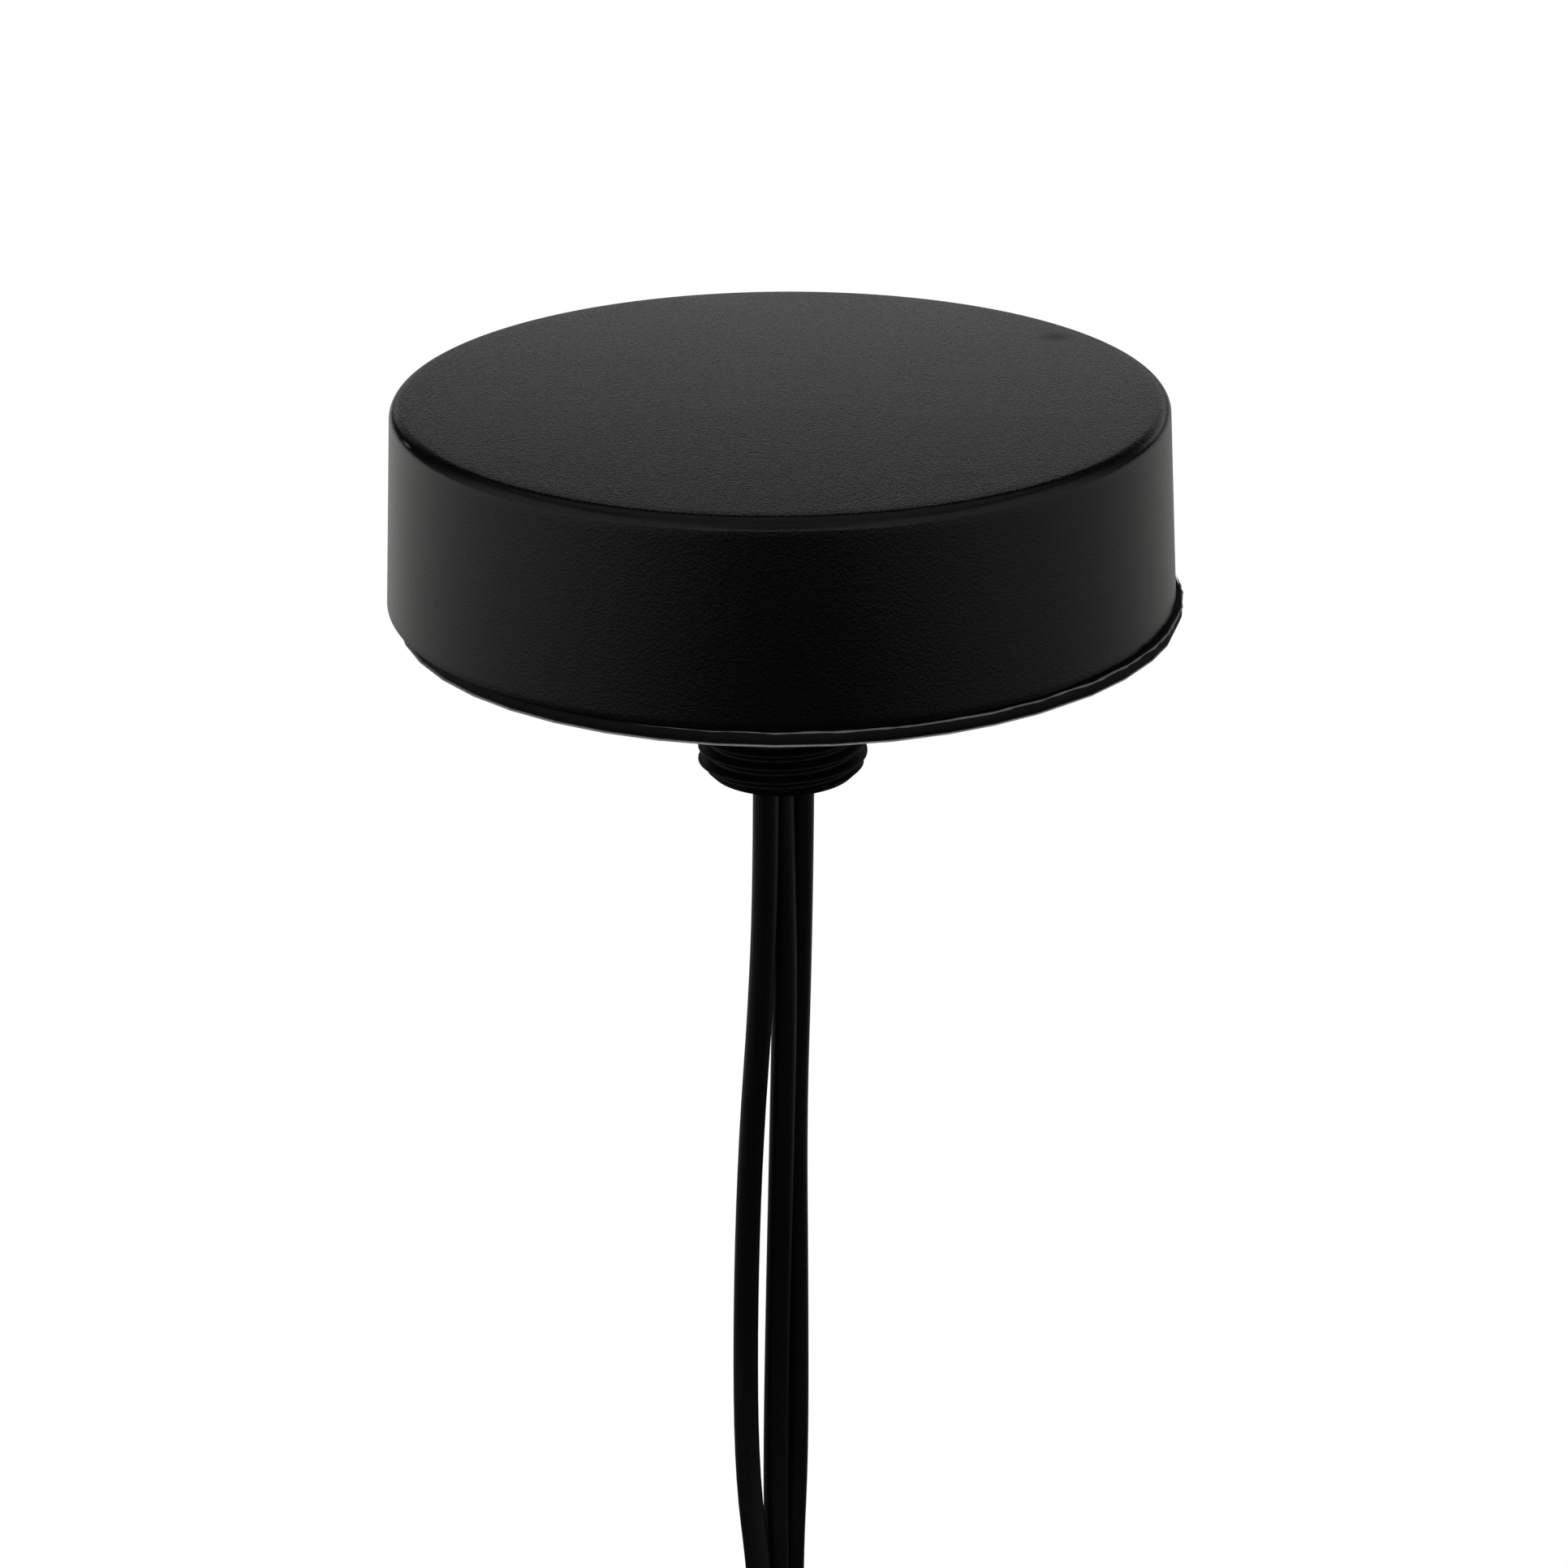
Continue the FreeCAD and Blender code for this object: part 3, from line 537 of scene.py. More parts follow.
def strap(name, middle_degrees):
    """Strap round the coil's section: a rounded oblong path, in depth and distance from the coil's
    centre, run one lap and a fifth with the second layer outside the first, and swept across its
    width with thin rounded edges."""
    gap = 0.12
    corner = 1.6
    depth = COIL_HALF + gap + TIE_THICK / 2
    low, high = COIL_IN - gap - TIE_THICK / 2, COIL_OUT + gap + TIE_THICK / 2
    quarter = np.linspace(0, np.pi / 2, 7)
    centres = [(depth - corner, high - corner), (-depth + corner, high - corner)]
    centres += [(-depth + corner, low + corner), (depth - corner, low + corner)]
    path = []
    for turn, (cy, cr) in enumerate(centres):
        a = quarter + turn * np.pi / 2
        path.append(np.stack([cy + corner * np.cos(a), cr + corner * np.sin(a)], axis=1))
    path = np.concatenate(path)
    path = np.concatenate([path, path[:1]])
    leg = np.r_[0, np.cumsum(np.linalg.norm(np.diff(path, axis=0), axis=1))]
    whole = leg[-1]
    along = np.linspace(0, whole * 1.2, 220)
    walked = along % whole
    line = np.stack([np.interp(walked, leg, path[:, i]) for i in range(2)], axis=1)
    tangent = np.gradient(line, axis=0)
    tangent /= np.linalg.norm(tangent, axis=1)[:, None]
    outward = np.stack([tangent[:, 1], -tangent[:, 0]], axis=1)
    lift = np.clip((along - whole * 0.97) / (whole * 0.05), 0, 1)
    lift = lift * lift * (3 - 2 * lift) * (TIE_THICK + 0.03)
    line = line + outward * lift[:, None]
    half = TIE_WIDE / 2
    across = np.array([-half, -half + 0.12, 0.0, half - 0.12, half, half - 0.12, 0.0, -half + 0.12])
    thick = np.array([0, 1, 1, 1, 0, -1, -1, -1]) * TIE_THICK / 2
    section = line[:, None, :] + outward[:, None, :] * thick[None, :, None]
    y = section[..., 0]
    r = section[..., 1]
    side = np.broadcast_to(across, r.shape)
    m = math.radians(middle_degrees)
    x = WIND_CENTRE[0] / MM + r * math.cos(m) - side * math.sin(m)
    z = WIND_CENTRE[2] / MM + r * math.sin(m) + side * math.cos(m)
    points = np.stack([x, y, z], axis=-1)
    number = np.arange(points.size // 3).reshape(points.shape[:2])
    faces = grid_faces(number, False, True)
    ends = [number[0, [0, 1, 7, 7]], number[0, [2, 3, 5, 6]], number[0, [3, 4, 5, 5]]]
    ends += [number[-1, [7, 7, 1, 0]], number[-1, [7, 6, 2, 1]], number[-1, [6, 5, 3, 2]]]
    ends += [number[0, [1, 2, 6, 7]], number[-1, [5, 5, 4, 3]]]
    return solid(name, [(points.reshape(-1, 3), np.concatenate([faces, np.array(ends)]))], 40.0)


for name, middle in (("upper", 56.0), ("lower", 236.0)):
    tie = strap("coil_strap_" + name, middle)
    dress(tie, tie_weave, "tie_fabric", "antenna", "coil_tie_" + name)

# Radome. One black moulded cap, spark-eroded to a fine even grain, with a flat top, a small rounded
# brow, slightly drafted sides, and four hollow bosses inside for the case screws.
CASE_LOW, CASE_TOP, ROOF_LOW = 1.5, 22.8, 20.8
FOOT_R, BROW_R, WALL = 41.2, 40.2, 2.0
PLATE_TOP = 4.5
BROW_ARC, FOOT_ARC, CEILING_ARC = 1.35, 0.2, 0.8
BOSS_R, BOSS_CIRCLE, BOSS_HOLE, BOSS_HOLE_TOP = 2.8, 34.5, 1.25, 12.5
RIB_THICK = 1.2


def arc(centre_r, centre_z, radius, start, stop, count):
    """Points on a circle in the (radius, height) plane between two angles in degrees."""
    a = np.radians(np.linspace(start, stop, count))
    return np.stack([centre_r + radius * np.cos(a), centre_z + radius * np.sin(a)], axis=1)


def cap_surface():
    """The cap's one closed skin: from the middle of the roof out over the brow, down the drafted side,
    round the foot, up the inside, and back to the middle of the ceiling."""
    draft = math.degrees(math.atan((FOOT_R - BROW_R) / (CASE_TOP - CASE_LOW)))
    brow, foot = BROW_ARC, FOOT_ARC
    roof = np.stack([np.array([0, 4, 10, 18, 26, 33, 37.5]), np.full(7, CASE_TOP)], axis=1)
    brow_r = BROW_R + math.tan(math.radians(draft)) * brow - brow / math.cos(math.radians(draft))
    side_top = arc(brow_r, CASE_TOP - brow, brow, 90, draft, 14)
    t = np.linspace(0.04, 0.96, 10)[:, None]
    foot_curve = arc(FOOT_R - foot, CASE_LOW + foot, foot, 0, -90, 6)
    side = side_top[-1] * (1 - t) + foot_curve[0] * t
    inner = [(FOOT_R - WALL, CASE_LOW), (38.96, 6.6), (38.67, 12.6), (38.25, 20.0)]
    ceiling = arc(37.42, ROOF_LOW - CEILING_ARC, CEILING_ARC, 0, 90, 6)
    middle = np.array([(30.0, ROOF_LOW), (15.0, ROOF_LOW), (0.0, ROOF_LOW)])
    profile = np.concatenate([roof, side_top, side, foot_curve, inner, ceiling, middle])
    return carried_round(profile[:, 0], profile[:, 1], 288, (0, 0))


def boss_surface(x, y):
    """Hollow round boss from the ceiling down to the base plate."""
    hole = [(0.0, BOSS_HOLE_TOP), (BOSS_HOLE, BOSS_HOLE_TOP), (BOSS_HOLE, PLATE_TOP)]
    outside = [(BOSS_R, PLATE_TOP), (BOSS_R, ROOF_LOW + 0.5), (0.0, ROOF_LOW + 0.5)]
    profile = np.array(hole + outside)
    return carried_round(profile[:, 0], profile[:, 1], 40, (x, y))


def rib_surface(degrees):
    """Thin upright rib from a boss out to the side wall, under the ceiling."""
    a = math.radians(degrees)
    along, across = np.array([math.cos(a), math.sin(a)]), np.array([-math.sin(a), math.cos(a)])
    reach, half = [BOSS_CIRCLE, 39.2], RIB_THICK / 2
    corners = [along * r + across * w for r, w in ((reach[0], -half), (reach[1], -half))]
    corners += [along * r + across * w for r, w in ((reach[1], half), (reach[0], half))]
    low, high = PLATE_TOP + 2.0, ROOF_LOW + 0.5
    points = [(*c, z) for z in (low, high) for c in corners]
    faces = [(0, 1, 2, 3), (7, 6, 5, 4), (0, 4, 5, 1), (1, 5, 6, 2), (2, 6, 7, 3), (3, 7, 4, 0)]
    return np.array(points), np.array(faces)


BOSS_ANGLES = (45, 135, 225, 315)
boss_places = [
    (BOSS_CIRCLE * math.cos(math.radians(a)), BOSS_CIRCLE * math.sin(math.radians(a)))
    for a in BOSS_ANGLES
]
cap_grain = finish_material(
    "radome_plastic",
    (0.0014, 0.0014, 0.0015),
    0.23,
    0.28,
    22,
    worn=(0.0026, 0.0026, 0.0026),
    cloud=22.0,
    cloud_amount=0.15,
    specular=0.45,
)
bosses = [boss_surface(x, y) for x, y in boss_places]
ribs = [rib_surface(a) for a in BOSS_ANGLES]
# The brow is rubbed a little smoother by handling, the roof's grain is coarser than the side's, and three
# marks stand on the cap: a painted glint, a pale streak on the brow's left, and two faint smears on the
# roof.
BROW_LOW, BROW_HIGH = (20.9, 21.5), (22.35, 22.75)
BROW_RUB, ROOF_GRAIN = -0.02, 1.6
SMEARS_AND_GLINT = (
    # Painted glint: a pale streak on the brow's left, far lighter than the black plastic.
    ((-37.5, -14.1, 22.25), (0.9, 2.3, 0.16), (0.3, 0.3, 0.29, 1), -0.05),
    ((29.5, 20.5, 22.8), (2.6, 2.2, 1.0), (0.0065, 0.0065, 0.0065, 1), 0.12),
    ((18.0, -27.0, 22.8), (7.0, 1.2, 1.0), (0.0055, 0.0055, 0.0055, 1), 0.05),
)
cap_tree = cap_grain.node_tree
cap_link = cap_tree.links.new
cap_worked = cap_tree.nodes["worked"].outputs
cap_place = cap_tree.nodes.new("ShaderNodeTexCoord").outputs["Object"]
cap_split = cap_tree.nodes.new("ShaderNodeSeparateXYZ")
cap_link(cap_place, cap_split.inputs[0])
cap_height = cap_split.outputs["Z"]
cap_colour, cap_rough = cap_worked["Colour"], cap_worked["Roughness"]
for mark_at, mark_half, smear_and_glint_colour, mark_rough in SMEARS_AND_GLINT:
    mark_off = shader_step(cap_tree, VECTOR, "SUBTRACT", cap_place, tuple(v * MM for v in mark_at))
    mark_ratio = shader_step(cap_tree, VECTOR, "DIVIDE", mark_off, tuple(v * MM for v in mark_half))
    mark_reach = shader_step(cap_tree, VECTOR, "LENGTH", mark_ratio)
    mark_fade = shader_ramp(cap_tree, mark_reach, 0.0, 1.0, 1.0, 0.0, smooth=True)
    mark_mix = cap_tree.nodes.new("ShaderNodeMix")
    mark_mix.data_type = "RGBA"
    mark_mix.inputs[7].default_value = smear_and_glint_colour
    cap_link(mark_fade, mark_mix.inputs["Factor"])
    cap_link(cap_colour, mark_mix.inputs[6])
    cap_colour = mark_mix.outputs[2]
    cap_rough = shader_step(cap_tree, MATH, "MULTIPLY_ADD", mark_fade, mark_rough, cap_rough)
brow_start, brow_full = (v * MM for v in BROW_LOW)
brow_end, roof_start = (v * MM for v in BROW_HIGH)
brow_below = shader_ramp(cap_tree, cap_height, brow_start, brow_full, 0.0, 1.0)
brow_above = shader_ramp(cap_tree, cap_height, brow_end, roof_start, 1.0, 0.0)
brow_share = shader_step(cap_tree, MATH, "MULTIPLY", brow_below, brow_above)
cap_rough = shader_step(cap_tree, MATH, "MULTIPLY_ADD", brow_share, BROW_RUB, cap_rough)
roof_share = shader_ramp(cap_tree, cap_height, brow_end, roof_start, 1.0, ROOF_GRAIN)
cap_relief = shader_step(cap_tree, MATH, "MULTIPLY", roof_share, cap_worked["Height"])
cap_link(cap_relief, cap_tree.nodes["relief"].inputs["Height"])
cap_link(cap_colour, cap_tree.nodes["Principled BSDF"].inputs["Base Color"])
cap_link(cap_rough, cap_tree.nodes["Principled BSDF"].inputs["Roughness"])
cap = solid("radome_cap", [cap_surface()] + bosses + ribs)
dress(cap, cap_grain, "radome_plastic", "antenna", "radome")

# Base. Black moulded plate and hollow threaded stud in one, with board posts and a cable saddle above.
# Its moulded edges are sharp, and the thread's crests are slightly soft.
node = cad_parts
base_plastic = finish_material(
    "base_plastic", (0.003, 0.003, 0.0031), 0.42, 0.3, 14, cloud=10.0, cloud_amount=0.3, specular=0.3
)


def merged_copy(name, source, sharp_degrees, above=None):
    """Copy of a node's mesh with its loose triangles joined, shaded smooth across shallow edges, and cut
    off below a height if one is given."""
    mesh = node[source].data.copy()
    mesh.name = name
    work = bmesh.new()
    work.from_mesh(mesh)
    bmesh.ops.remove_doubles(work, verts=work.verts, dist=2e-6)
    if above is not None:
        every = work.verts[:] + work.edges[:] + work.faces[:]
        at, up = (0, 0, above * MM), (0, 0, 1)
        bmesh.ops.bisect_plane(work, geom=every, plane_co=at, plane_no=up, clear_inner=True)
    work.to_mesh(mesh)
    work.free()
    mesh.materials.clear()
    mesh.shade_smooth()
    mesh.set_sharp_from_angle(angle=math.radians(sharp_degrees))
    copy = bpy.data.objects.new(name, mesh)
    bpy.context.scene.collection.objects.link(copy)
    return copy


STUD_R, STUD_LOW, STUD_BORE, STUD_CHAMFER = 9.0, -18.7, 5.0, 1.4
NECK_LOW, THREAD_TOP, RELIEF_LOW, RELIEF_R = -2.0, -2.7, -3.4, 8.0
BORE_TURN, BORE_LIP = -17.0, 0.12
PITCH, THREAD_DEPTH, ROOT_HALF = 1.5, 0.92, 0.12


def stud_surface():
    """Hollow stud. Below the relief groove r = root + (d - h) / tan 30, between the root and the crest,
    where d is the distance along the axis from the middle of a right-handed helical groove, and the
    tip's cone cuts it off. The crests are rounded by a smooth step near the full radius."""
    sides = 160
    angle = np.arange(sides) * 2 * np.pi / sides
    z = np.linspace(STUD_LOW, THREAD_TOP, 190)
    phase = (z[:, None] - STUD_LOW) / PITCH - angle[None, :] / (2 * np.pi)
    off = np.abs((phase % 1.0) - 0.5) * PITCH
    flank = THREAD_DEPTH * math.tan(math.radians(30))
    deep = np.clip(1.0 - (PITCH / 2 - off - ROOT_HALF) / flank, 0, 1)
    deep = deep * deep * (3 - 2 * deep) * 0.35 + deep * 0.65
    run_out = np.clip((THREAD_TOP - z) / 1.2, 0, 1)[:, None]
    radius = STUD_R - THREAD_DEPTH * deep * run_out
    cone = STUD_R - STUD_CHAMFER + (z - STUD_LOW)
    radius = np.minimum(radius, cone[:, None])
    radius = np.where((z > RELIEF_LOW)[:, None], RELIEF_R, radius)
    full = np.ones((1, sides))
    upper_r = np.array([RELIEF_R, STUD_R, STUD_R, STUD_BORE])[:, None] * full
    upper_z = np.array([NECK_LOW, NECK_LOW, CASE_LOW, CASE_LOW])
    bore_r = np.array([STUD_BORE, STUD_BORE])[:, None] * full
    bore_z = np.array([BORE_TURN, STUD_LOW + BORE_LIP])
    lip = np.array([[STUD_BORE + BORE_LIP]]) * full
    radius = np.concatenate([radius, upper_r, bore_r, lip])
    height = np.concatenate([z, upper_z, bore_z, [STUD_LOW]])
    return carried_round(radius, height, sides, (0, 0), join=True)


plate = merged_copy("base_plate", "base", 40.0, above=CASE_LOW - 0.002)
dress(plate, base_plastic, "base_plastic", "antenna", "base")
dress(solid("threaded_stud", [stud_surface()], 50.0), base_plastic, "base_plastic", "antenna", "base")

# Foam pad. Thin closed-cell foam with a film of adhesive on both faces, cut and laid by hand, so its
# edge runs in short flats and it stands proud of the case at the right and in front.
PAD_R = 40.9
PAD_SHIFT = np.array([0.95, -0.5])
PAD_LOW, PAD_HIGH = 0.2, 1.5
PAD_HOLE = 10.6
PAD_SIDES = 720


def pad_edge(angle):
    """Distance of the pad's cut edge from the stud's axis. The shifted circle's is s.u +
    sqrt(R^2 - s^2 + (s.u)^2) along a direction u; between uneven cuts of the blade the edge follows
    their chord, ra rb sin(b - a) / (ra sin(t - a) + rb sin(b - t))."""
    cuts = np.radians([-179, -171, -163, -155, -147, -139, -131, -123, -115, -107, -99, -91, -83, -75])
    cuts = np.r_[cuts, np.radians([-67, -60, -52.5, -42.5, -34.5, -26.0, -19.5, -8.5, -2.0, 6.0, 15, 26])]
    cuts = np.r_[cuts, np.radians([38, 51, 65, 80, 95, 110, 124, 138, 151, 163, 173, 181])]
    along = PAD_SHIFT[0] * np.cos(cuts) + PAD_SHIFT[1] * np.sin(cuts)
    reach = along + np.sqrt(PAD_R**2 - PAD_SHIFT @ PAD_SHIFT + along**2)
    reach = reach + 0.05 * np.sin(5.3 * cuts + 0.4)
    reach = reach - 0.2 * np.exp(-(((cuts + 0.75) / 0.45) ** 2))
    reach = reach - 0.13 * np.exp(-(((cuts + 0.97) / 0.25) ** 2))
    reach = reach + 0.22 * np.exp(-(((cuts + 2.55) / 0.4) ** 2))
    reach[-1] = reach[0]
    turned = (angle - cuts[0]) % (2 * np.pi) + cuts[0]
    i = np.clip(np.searchsorted(cuts, turned, side="right") - 1, 0, len(cuts) - 2)
    a, b, ra, rb = cuts[i], cuts[i + 1], reach[i], reach[i + 1]
    return ra * rb * np.sin(b - a) / (ra * np.sin(turned - a) + rb * np.sin(b - turned))


def pad_surface(low, high, grow, bulge, ripple):
    """Ring between the stud's hole and the cut edge. The edge bulges, and its rims ripple where the
    blade dragged."""
    sides = PAD_SIDES
    angle = np.arange(sides) * 2 * np.pi / sides
    edge = pad_edge(angle) + grow
    wave = ripple * (np.sin(61 * angle + 2 * np.sin(5 * angle)) + 0.6 * np.sin(113 * angle + 1.3))
    thick = high - low
    full = np.ones(sides)
    flat = [PAD_HOLE * full, 24.0 * full, 36.0 * full]
    upper_r = flat + [edge - 0.5, edge - 0.12 + wave * 0.5, edge + bulge * 0.6 + wave * 0.3]
    lower_r = [edge + bulge * 0.6, edge - 0.12] + flat[::-1]
    upper_h = [high * full] * 4 + [high + wave * 0.35 * (thick > 0.3), (high - 0.18 * thick) * full]
    lower_h = [(low + 0.18 * thick) * full] + [low * full] * 4
    radius = np.stack(upper_r + [edge + bulge] + lower_r)
    height = np.stack(upper_h + [(high - 0.5 * thick) * full] + lower_h)
    return carried_round(radius, height, sides, (0, 0), join=True)


foam = finish_material(
    "pad_foam", (0.006, 0.006, 0.0058), 0.66, 0.35, 60, cloud=3.0, cloud_amount=0.5, specular=0.25
)
pad_skin = pad_surface(PAD_LOW + 0.001, PAD_HIGH - 0.001, grow=0.0, bulge=0.07, ripple=0.05)
pad = solid("foam_seat", [pad_skin])
dress(pad, foam, "pad_foam", "antenna", "foam_pad")


def lip_surface(start_degrees, end_degrees):
    """Thin wrinkled bead of adhesive film on the pad's upper rim: a tube whose middle line and
    thickness waver with the angle and die away at both ends."""
    a = np.radians(np.linspace(start_degrees, end_degrees, 900))
    rough = np.sin(31 * a + 1.1) * np.sin(47.3 * a) + 0.5 * np.sin(103 * a + 2 * np.sin(19 * a))
    fade = np.clip((a - a[0]) / 0.5, 0, 1) * np.clip((a[-1] - a) / 0.12, 0, 1)
    thick = (0.115 + 0.035 * rough) * fade + 0.004
    middle_r = pad_edge(a) + 0.03 + 0.03 * np.sin(23 * a) + 0.02 * rough
    middle_z = PAD_HIGH - 0.03 + 0.03 * np.sin(37 * a + 0.5)
    t = np.arange(12) * 2 * np.pi / 12
    r = middle_r[:, None] + thick[:, None] * np.cos(t)
    z = middle_z[:, None] + thick[:, None] * 0.9 * np.sin(t)
    tube = np.stack([r * np.cos(a)[:, None], r * np.sin(a)[:, None], z], axis=-1)
    ends = np.stack([tube[0].mean(axis=0), tube[-1].mean(axis=0)])
    number = np.arange(tube.size // 3).reshape(tube.shape[:2])
    first, last = np.full((1, 12), number.size), np.full((1, 12), number.size + 1)
    faces = grid_faces(np.concatenate([first, number, last]), False, True)
    return np.concatenate([tube.reshape(-1, 3), ends]), faces


# The bead's pale grey is partly the adhesive film's own colour and partly a painted highlight along the
# pad's rim.
film_and_glint = finish_material(
    "adhesive_film_and_glint", (0.32, 0.32, 0.30), 0.35, 0.3, 20, worn=(0.52, 0.51, 0.48), cloud=1.5, specular=0.6
)
LIP_START, LIP_END = -112, 6
lip = solid("adhesive_lip", [lip_surface(LIP_START, LIP_END)], 60.0)
dress(lip, film_and_glint, "pad_foam", "antenna", "foam_pad")

# Release liner. Pale coated paper on the pad's underside, cut with it and lying a hair to the left of
# it, peeled off when the antenna is fitted.
liner_paper = finish_material(
    "liner_paper", (0.80, 0.79, 0.74), 0.5, 0.4, 10, worn=(0.72, 0.70, 0.63), cloud=8.0
)
liner_lap = 0.02 - 0.12 * np.cos(np.arange(PAD_SIDES) * 2 * np.pi / PAD_SIDES + 0.2)
liner_skin = pad_surface(0.0, PAD_LOW, grow=liner_lap, bulge=0.02, ripple=0.04)
liner = solid("liner_sheet", [liner_skin])
dress(liner, liner_paper, "liner_paper", "antenna", "release_liner")

# Screws, seal and cable fittings inside the case, left as they were turned and moulded.
steel = finish_material(
    "screw_steel", (0.42, 0.42, 0.40), 0.34, 0.25, 5, metallic=1.0, worn=(0.3, 0.3, 0.28), cloud=2.0
)
rubber = finish_material("seal_rubber", (0.009, 0.009, 0.0095), 0.6, 0.3, 14, cloud=6.0, specular=0.35)
for name in ("case_screws", "board_screws", "clamp_screws"):
    dress(merged_copy(name + "_turned", name, 35.0), steel, "screw_steel", "antenna", name)
for name in ("seal_ring", "cable_bung"):
    dress(merged_copy(name + "_moulded", name, 35.0), rubber, "seal_rubber", "antenna", name)
dress(merged_copy("cable_bar", "cable_clamp", 35.0), base_plastic, "base_plastic", "antenna", "cable_clamp")
for name in LEAD_NAMES:
    inner = merged_copy(name + "_cable_inside", name + "_lead_inner", 40.0)
    dress(inner, jacket, "cable_jacket", "antenna", name + "_lead_inner")

# Board and radio parts. Green laminate with a ceramic satellite patch on tape, a tinned can over the
# amplifier chips below, and two bent brass radiators staked to a pale carrier ring.
laminate = finish_material("board_laminate", (0.012, 0.085, 0.03), 0.3, 0.5, 6, cloud=4.0)
tape = finish_material("tape", (0.62, 0.6, 0.55), 0.7, 0.5, 30, cloud=5.0)
ceramic = finish_material("patch_ceramic", (0.52, 0.45, 0.34), 0.62, 0.2, 12, cloud=4.0)
silver = finish_material(
    "silver_print", (0.68, 0.66, 0.62), 0.42, 0.3, 8, metallic=1.0, worn=(0.55, 0.52, 0.46), cloud=5.0
)
tinned = finish_material(
    "tinned_steel", (0.55, 0.55, 0.53), 0.36, 0.5, 6, metallic=1.0, worn=(0.42, 0.42, 0.4), cloud=5.0
)
epoxy = finish_material("chip_black", (0.012, 0.012, 0.012), 0.5, 0.2, 8, cloud=2.0)
brass = finish_material(
    "radiator_brass", (0.62, 0.42, 0.14), 0.3, 0.6, 5, metallic=1.0, worn=(0.48, 0.3, 0.1), cloud=6.0
)
natural = finish_material("carrier_plastic", (0.5, 0.47, 0.4), 0.5, 0.3, 10, cloud=6.0)
INSIDE = {
    "main_board": (laminate, "board_laminate"),
    "patch_tape": (tape, "tape"),
    "patch_ceramic": (ceramic, "patch_ceramic"),
    "patch_electrode": (silver, "silver_print"),
    "feed_pin": (silver, "silver_print"),
    "lna_shield": (tinned, "tinned_steel"),
    "lna_chips": (epoxy, "chip_black"),
    "cellular_radiator": (brass, "radiator_brass"),
    "wifi_radiator": (brass, "radiator_brass"),
    "radiator_carrier": (natural, "carrier_plastic"),
    "lead_terminals": (tinned, "tinned_steel"),
}
for name, (material, slot_name) in INSIDE.items():
    dress(merged_copy(name + "_made", name, 35.0), material, slot_name, "antenna", name)

# Floor. Plain pale studio floor, well under the hanging plugs, white to the eye. Towards the case the floor
# itself glows as painted light and shade: nothing in front, a soft glow at the sides and behind, and weaker
# at the right.
FLOOR_Z = -0.30
FLOOR_RINGS = np.array([0.0, 1.0, 2.0, 4.0, 8.0])
GLOW_FRONT, GLOW_NEAR, GLOW_FAR, GLOW_FULL = 0.45, 0.66, 1.4, 0.53
GLOW_LEFT_X, GLOW_RIGHT_X, GLOW_RIGHT = -0.15, 0.4, 0.7
floor_points, floor_faces = carried_round(FLOOR_RINGS, np.zeros(5), 64, (0, 0))
floor_points[:, 2] = FLOOR_Z
floor_quads = floor_faces[:, ::-1].tolist()
floor_mesh = bpy.data.meshes.new("floor")
floor_mesh.from_pydata(
    floor_points.tolist(), [], [[p for i, p in enumerate(f) if p != f[i - 1]] for f in floor_quads]
)
floor = bpy.data.objects.new("floor", floor_mesh)
bpy.context.scene.collection.objects.link(floor)
pale = bpy.data.materials.new("glowing_floor")
pale.use_nodes = True
pale_tree = pale.node_tree
pale_tree.nodes.clear()
pale_link = pale_tree.links.new
pale_place = pale_tree.nodes.new("ShaderNodeTexCoord").outputs["Object"]
pale_split = pale_tree.nodes.new("ShaderNodeSeparateXYZ")
pale_link(pale_place, pale_split.inputs[0])
# Painted light: the floor's glow on the case, from a dark pool in front to a soft glow at the sides and
# behind, dimmer at the right.
pale_back = shader_step(pale_tree, VECTOR, "ADD", pale_place, (0.0, GLOW_FRONT, -FLOOR_Z))
pale_past = shader_step(pale_tree, VECTOR, "MAXIMUM", pale_back, (-99.0, 0.0, 0.0))
pale_from = shader_step(pale_tree, VECTOR, "LENGTH", pale_past)
pale_fall = shader_ramp(pale_tree, pale_from, GLOW_NEAR, GLOW_FAR, 0.0, GLOW_FULL)
glow_dim_right = shader_ramp(pale_tree, pale_split.outputs["X"], GLOW_LEFT_X, GLOW_RIGHT_X, 1.0, GLOW_RIGHT)
floor_glow = pale_tree.nodes.new("ShaderNodeEmission")
floor_glow.inputs["Color"].default_value = (1, 0.99, 0.97, 1)
pale_link(shader_step(pale_tree, MATH, "MULTIPLY", pale_fall, glow_dim_right), floor_glow.inputs["Strength"])
pale_white = pale_tree.nodes.new("ShaderNodeEmission")
pale_white.inputs["Color"].default_value = (1, 1, 1, 1)
pale_under = pale_tree.nodes.new("ShaderNodeBsdfTransparent")
pale_seen = pale_tree.nodes.new("ShaderNodeMixShader")
pale_link(pale_tree.nodes.new("ShaderNodeLightPath").outputs["Is Camera Ray"], pale_seen.inputs[0])
pale_link(floor_glow.outputs[0], pale_seen.inputs[1])
pale_link(pale_white.outputs[0], pale_seen.inputs[2])
pale_both = pale_tree.nodes.new("ShaderNodeMixShader")
pale_link(pale_tree.nodes.new("ShaderNodeNewGeometry").outputs["Backfacing"], pale_both.inputs[0])
pale_link(pale_seen.outputs[0], pale_both.inputs[1])
pale_link(pale_under.outputs[0], pale_both.inputs[2])
pale_out = pale_tree.nodes.new("ShaderNodeOutputMaterial")
pale_link(pale_both.outputs[0], pale_out.inputs["Surface"])
floor_mesh.materials.append(pale)

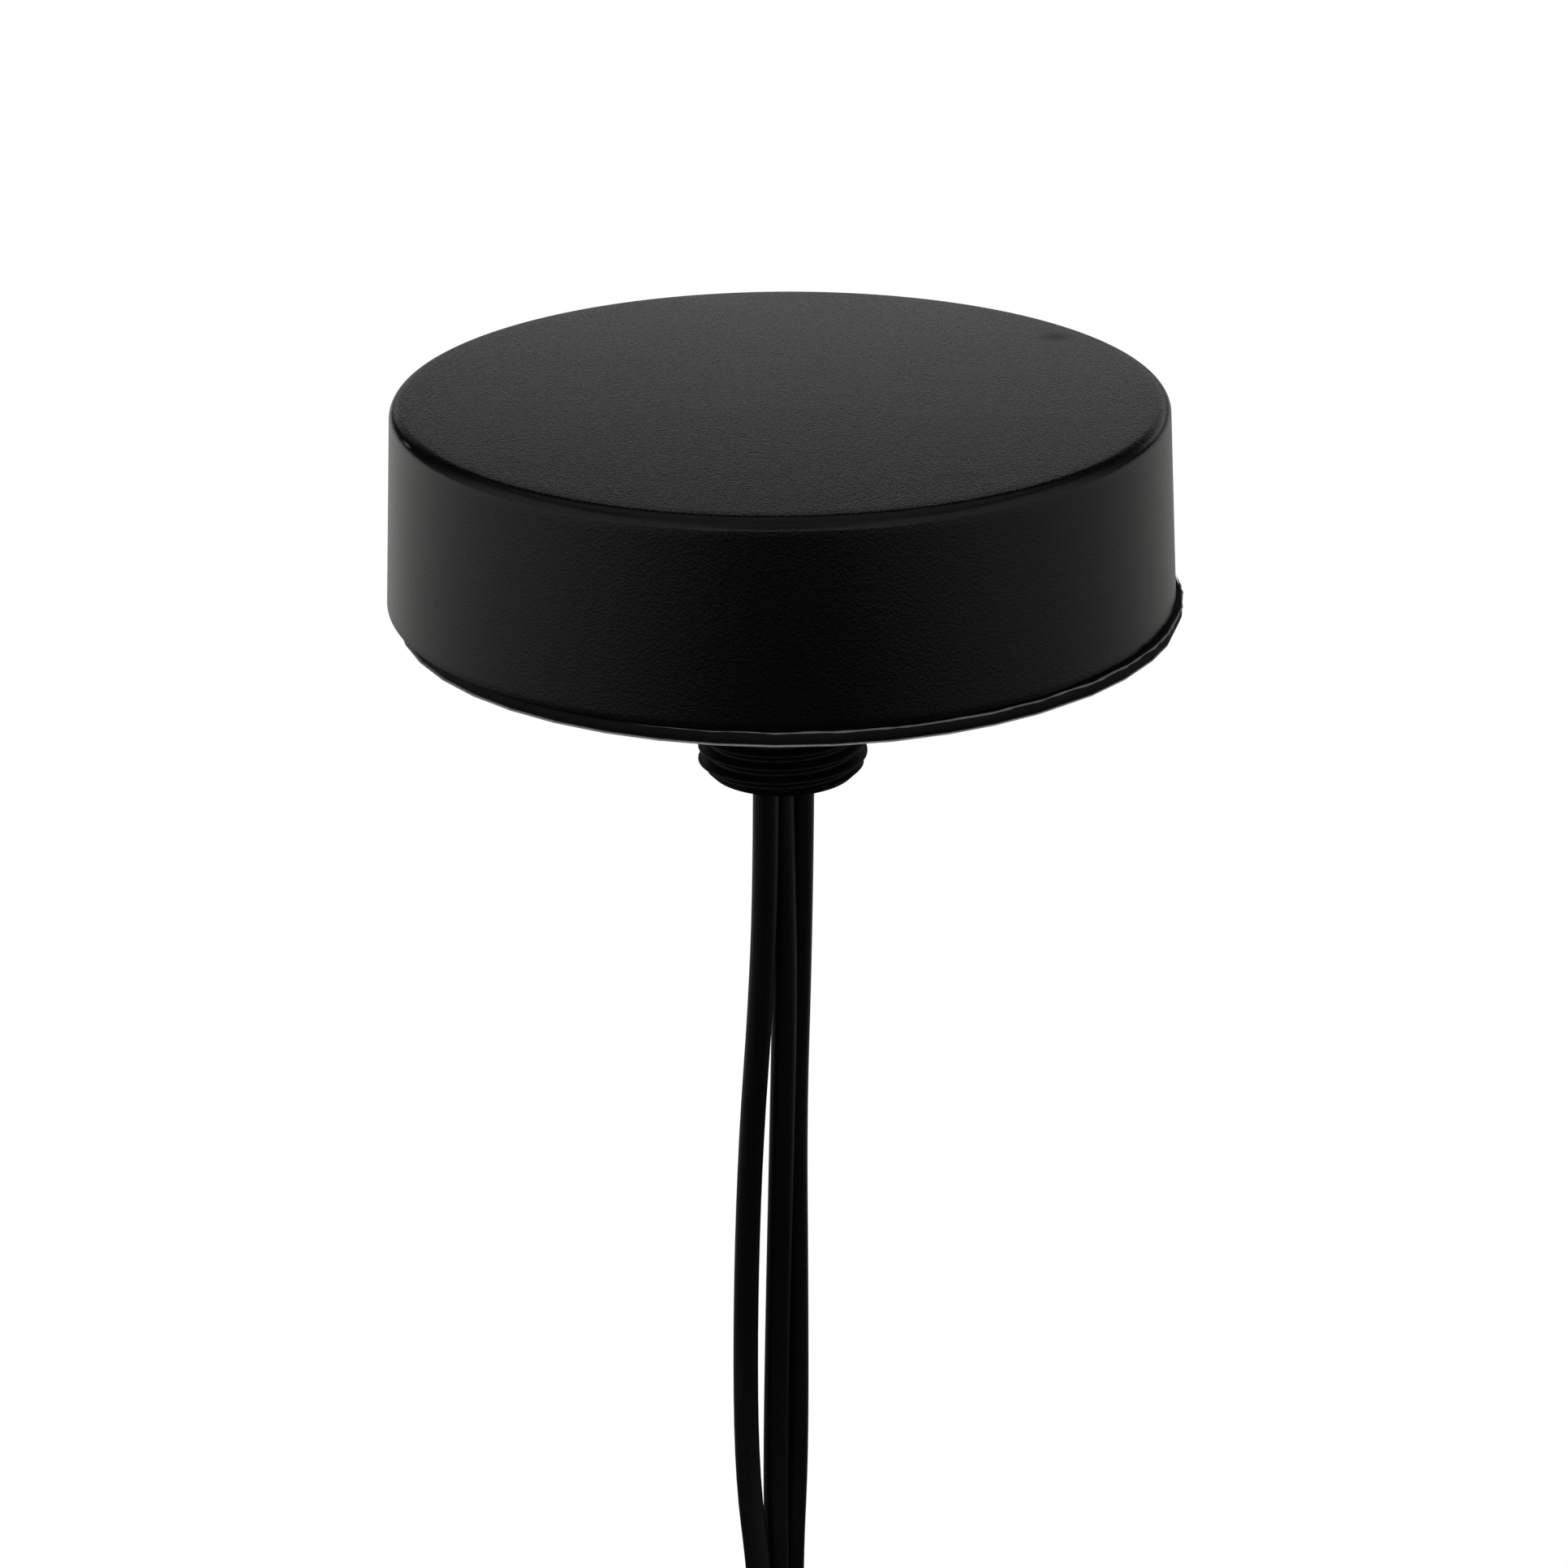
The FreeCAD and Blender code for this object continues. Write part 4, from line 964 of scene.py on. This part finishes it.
# Light. A dim white studio with a pale band along the horizon in front, higher at the sides, a low soft
# light close behind the case, a strip and a wide soft light in front of it, and one overhead.
BAND_LOW, BAND_HIGH, BAND_LIGHT, BAND_SIDE_RISE = 0.05, 0.32, 0.36, -0.75
world = bpy.data.worlds.new("studio")
bpy.context.scene.world = world
world.use_nodes = True
sky = world.node_tree
sky.nodes.clear()
sky_link = sky.links.new
sky_split = sky.nodes.new("ShaderNodeSeparateXYZ")
sky_link(sky.nodes.new("ShaderNodeTexCoord").outputs["Generated"], sky_split.inputs[0])
sky_x, sky_y, sky_z = (sky_split.outputs[axis] for axis in "XYZ")
sky_dim = shader_ramp(sky, sky_y, -0.6, 0.9, 0.03, 0.01, smooth=True)
sky_height = shader_step(sky, MATH, "ABSOLUTE", sky_z)
sky_aside = shader_step(sky, MATH, "ABSOLUTE", sky_x)
sky_rise = shader_step(sky, MATH, "MULTIPLY_ADD", sky_aside, BAND_SIDE_RISE, sky_height)
sky_band = shader_ramp(sky, sky_rise, BAND_LOW, BAND_HIGH, BAND_LIGHT, 0.0, smooth=True)
sky_front = shader_ramp(sky, sky_y, -0.1, 0.6, 1.0, 0.0, smooth=True)
sky_light = sky.nodes.new("ShaderNodeBackground")
sky_light.inputs["Color"].default_value = (1, 1, 1, 1)
sky_sum = shader_step(sky, MATH, "MULTIPLY_ADD", sky_band, sky_front, sky_dim)
sky_link(sky_sum, sky_light.inputs["Strength"])
sky_seen = sky.nodes.new("ShaderNodeBackground")
sky_seen.inputs["Color"].default_value = (1, 1, 1, 1)
sky_mix = sky.nodes.new("ShaderNodeMixShader")
sky_link(sky.nodes.new("ShaderNodeLightPath").outputs["Is Camera Ray"], sky_mix.inputs[0])
sky_link(sky_light.outputs[0], sky_mix.inputs[1])
sky_link(sky_seen.outputs[0], sky_mix.inputs[2])
sky_link(sky_mix.outputs[0], sky.nodes.new("ShaderNodeOutputWorld").inputs["Surface"])


def soft_light(name, place, aim, wide, tall, watts):
    """Oblong area light at a place, facing a point."""
    data = bpy.data.lights.new(name, "AREA")
    data.shape = "RECTANGLE"
    data.size = wide
    data.size_y = tall
    data.energy = watts
    lamp = bpy.data.objects.new(name, data)
    bpy.context.scene.collection.objects.link(lamp)
    away = np.array(place) - np.array(aim)
    away = away / np.linalg.norm(away)
    right = np.cross((0.0, 0.0, 1.0), away)
    right = right / np.linalg.norm(right) if np.linalg.norm(right) > 1e-6 else np.array([1.0, 0, 0])
    up = np.cross(away, right)
    lamp.visible_camera = False
    lamp.matrix_world = Matrix(
        [[*row, place[i]] for i, row in enumerate(np.stack([right, up, away], axis=1).tolist())]
        + [[0, 0, 0, 1]]
    )
    return lamp


CASE_MIDDLE = (0, 0, 0.02)
soft_light("behind", (0.03, 0.17, 0.058), CASE_MIDDLE, 0.34, 0.035, 0.0225)
soft_light("front_strip", (0.0, -1.2, 0.04), CASE_MIDDLE, 1.6, 0.06, 0.3)
soft_light("front_above", (0.0, -0.8, 0.9), CASE_MIDDLE, 1.6, 0.9, 0.9)
soft_light("overhead", (0.0, 0.15, 1.2), CASE_MIDDLE, 1.8, 1.2, 1.3)

bpy.context.scene.view_settings.view_transform = "Standard"
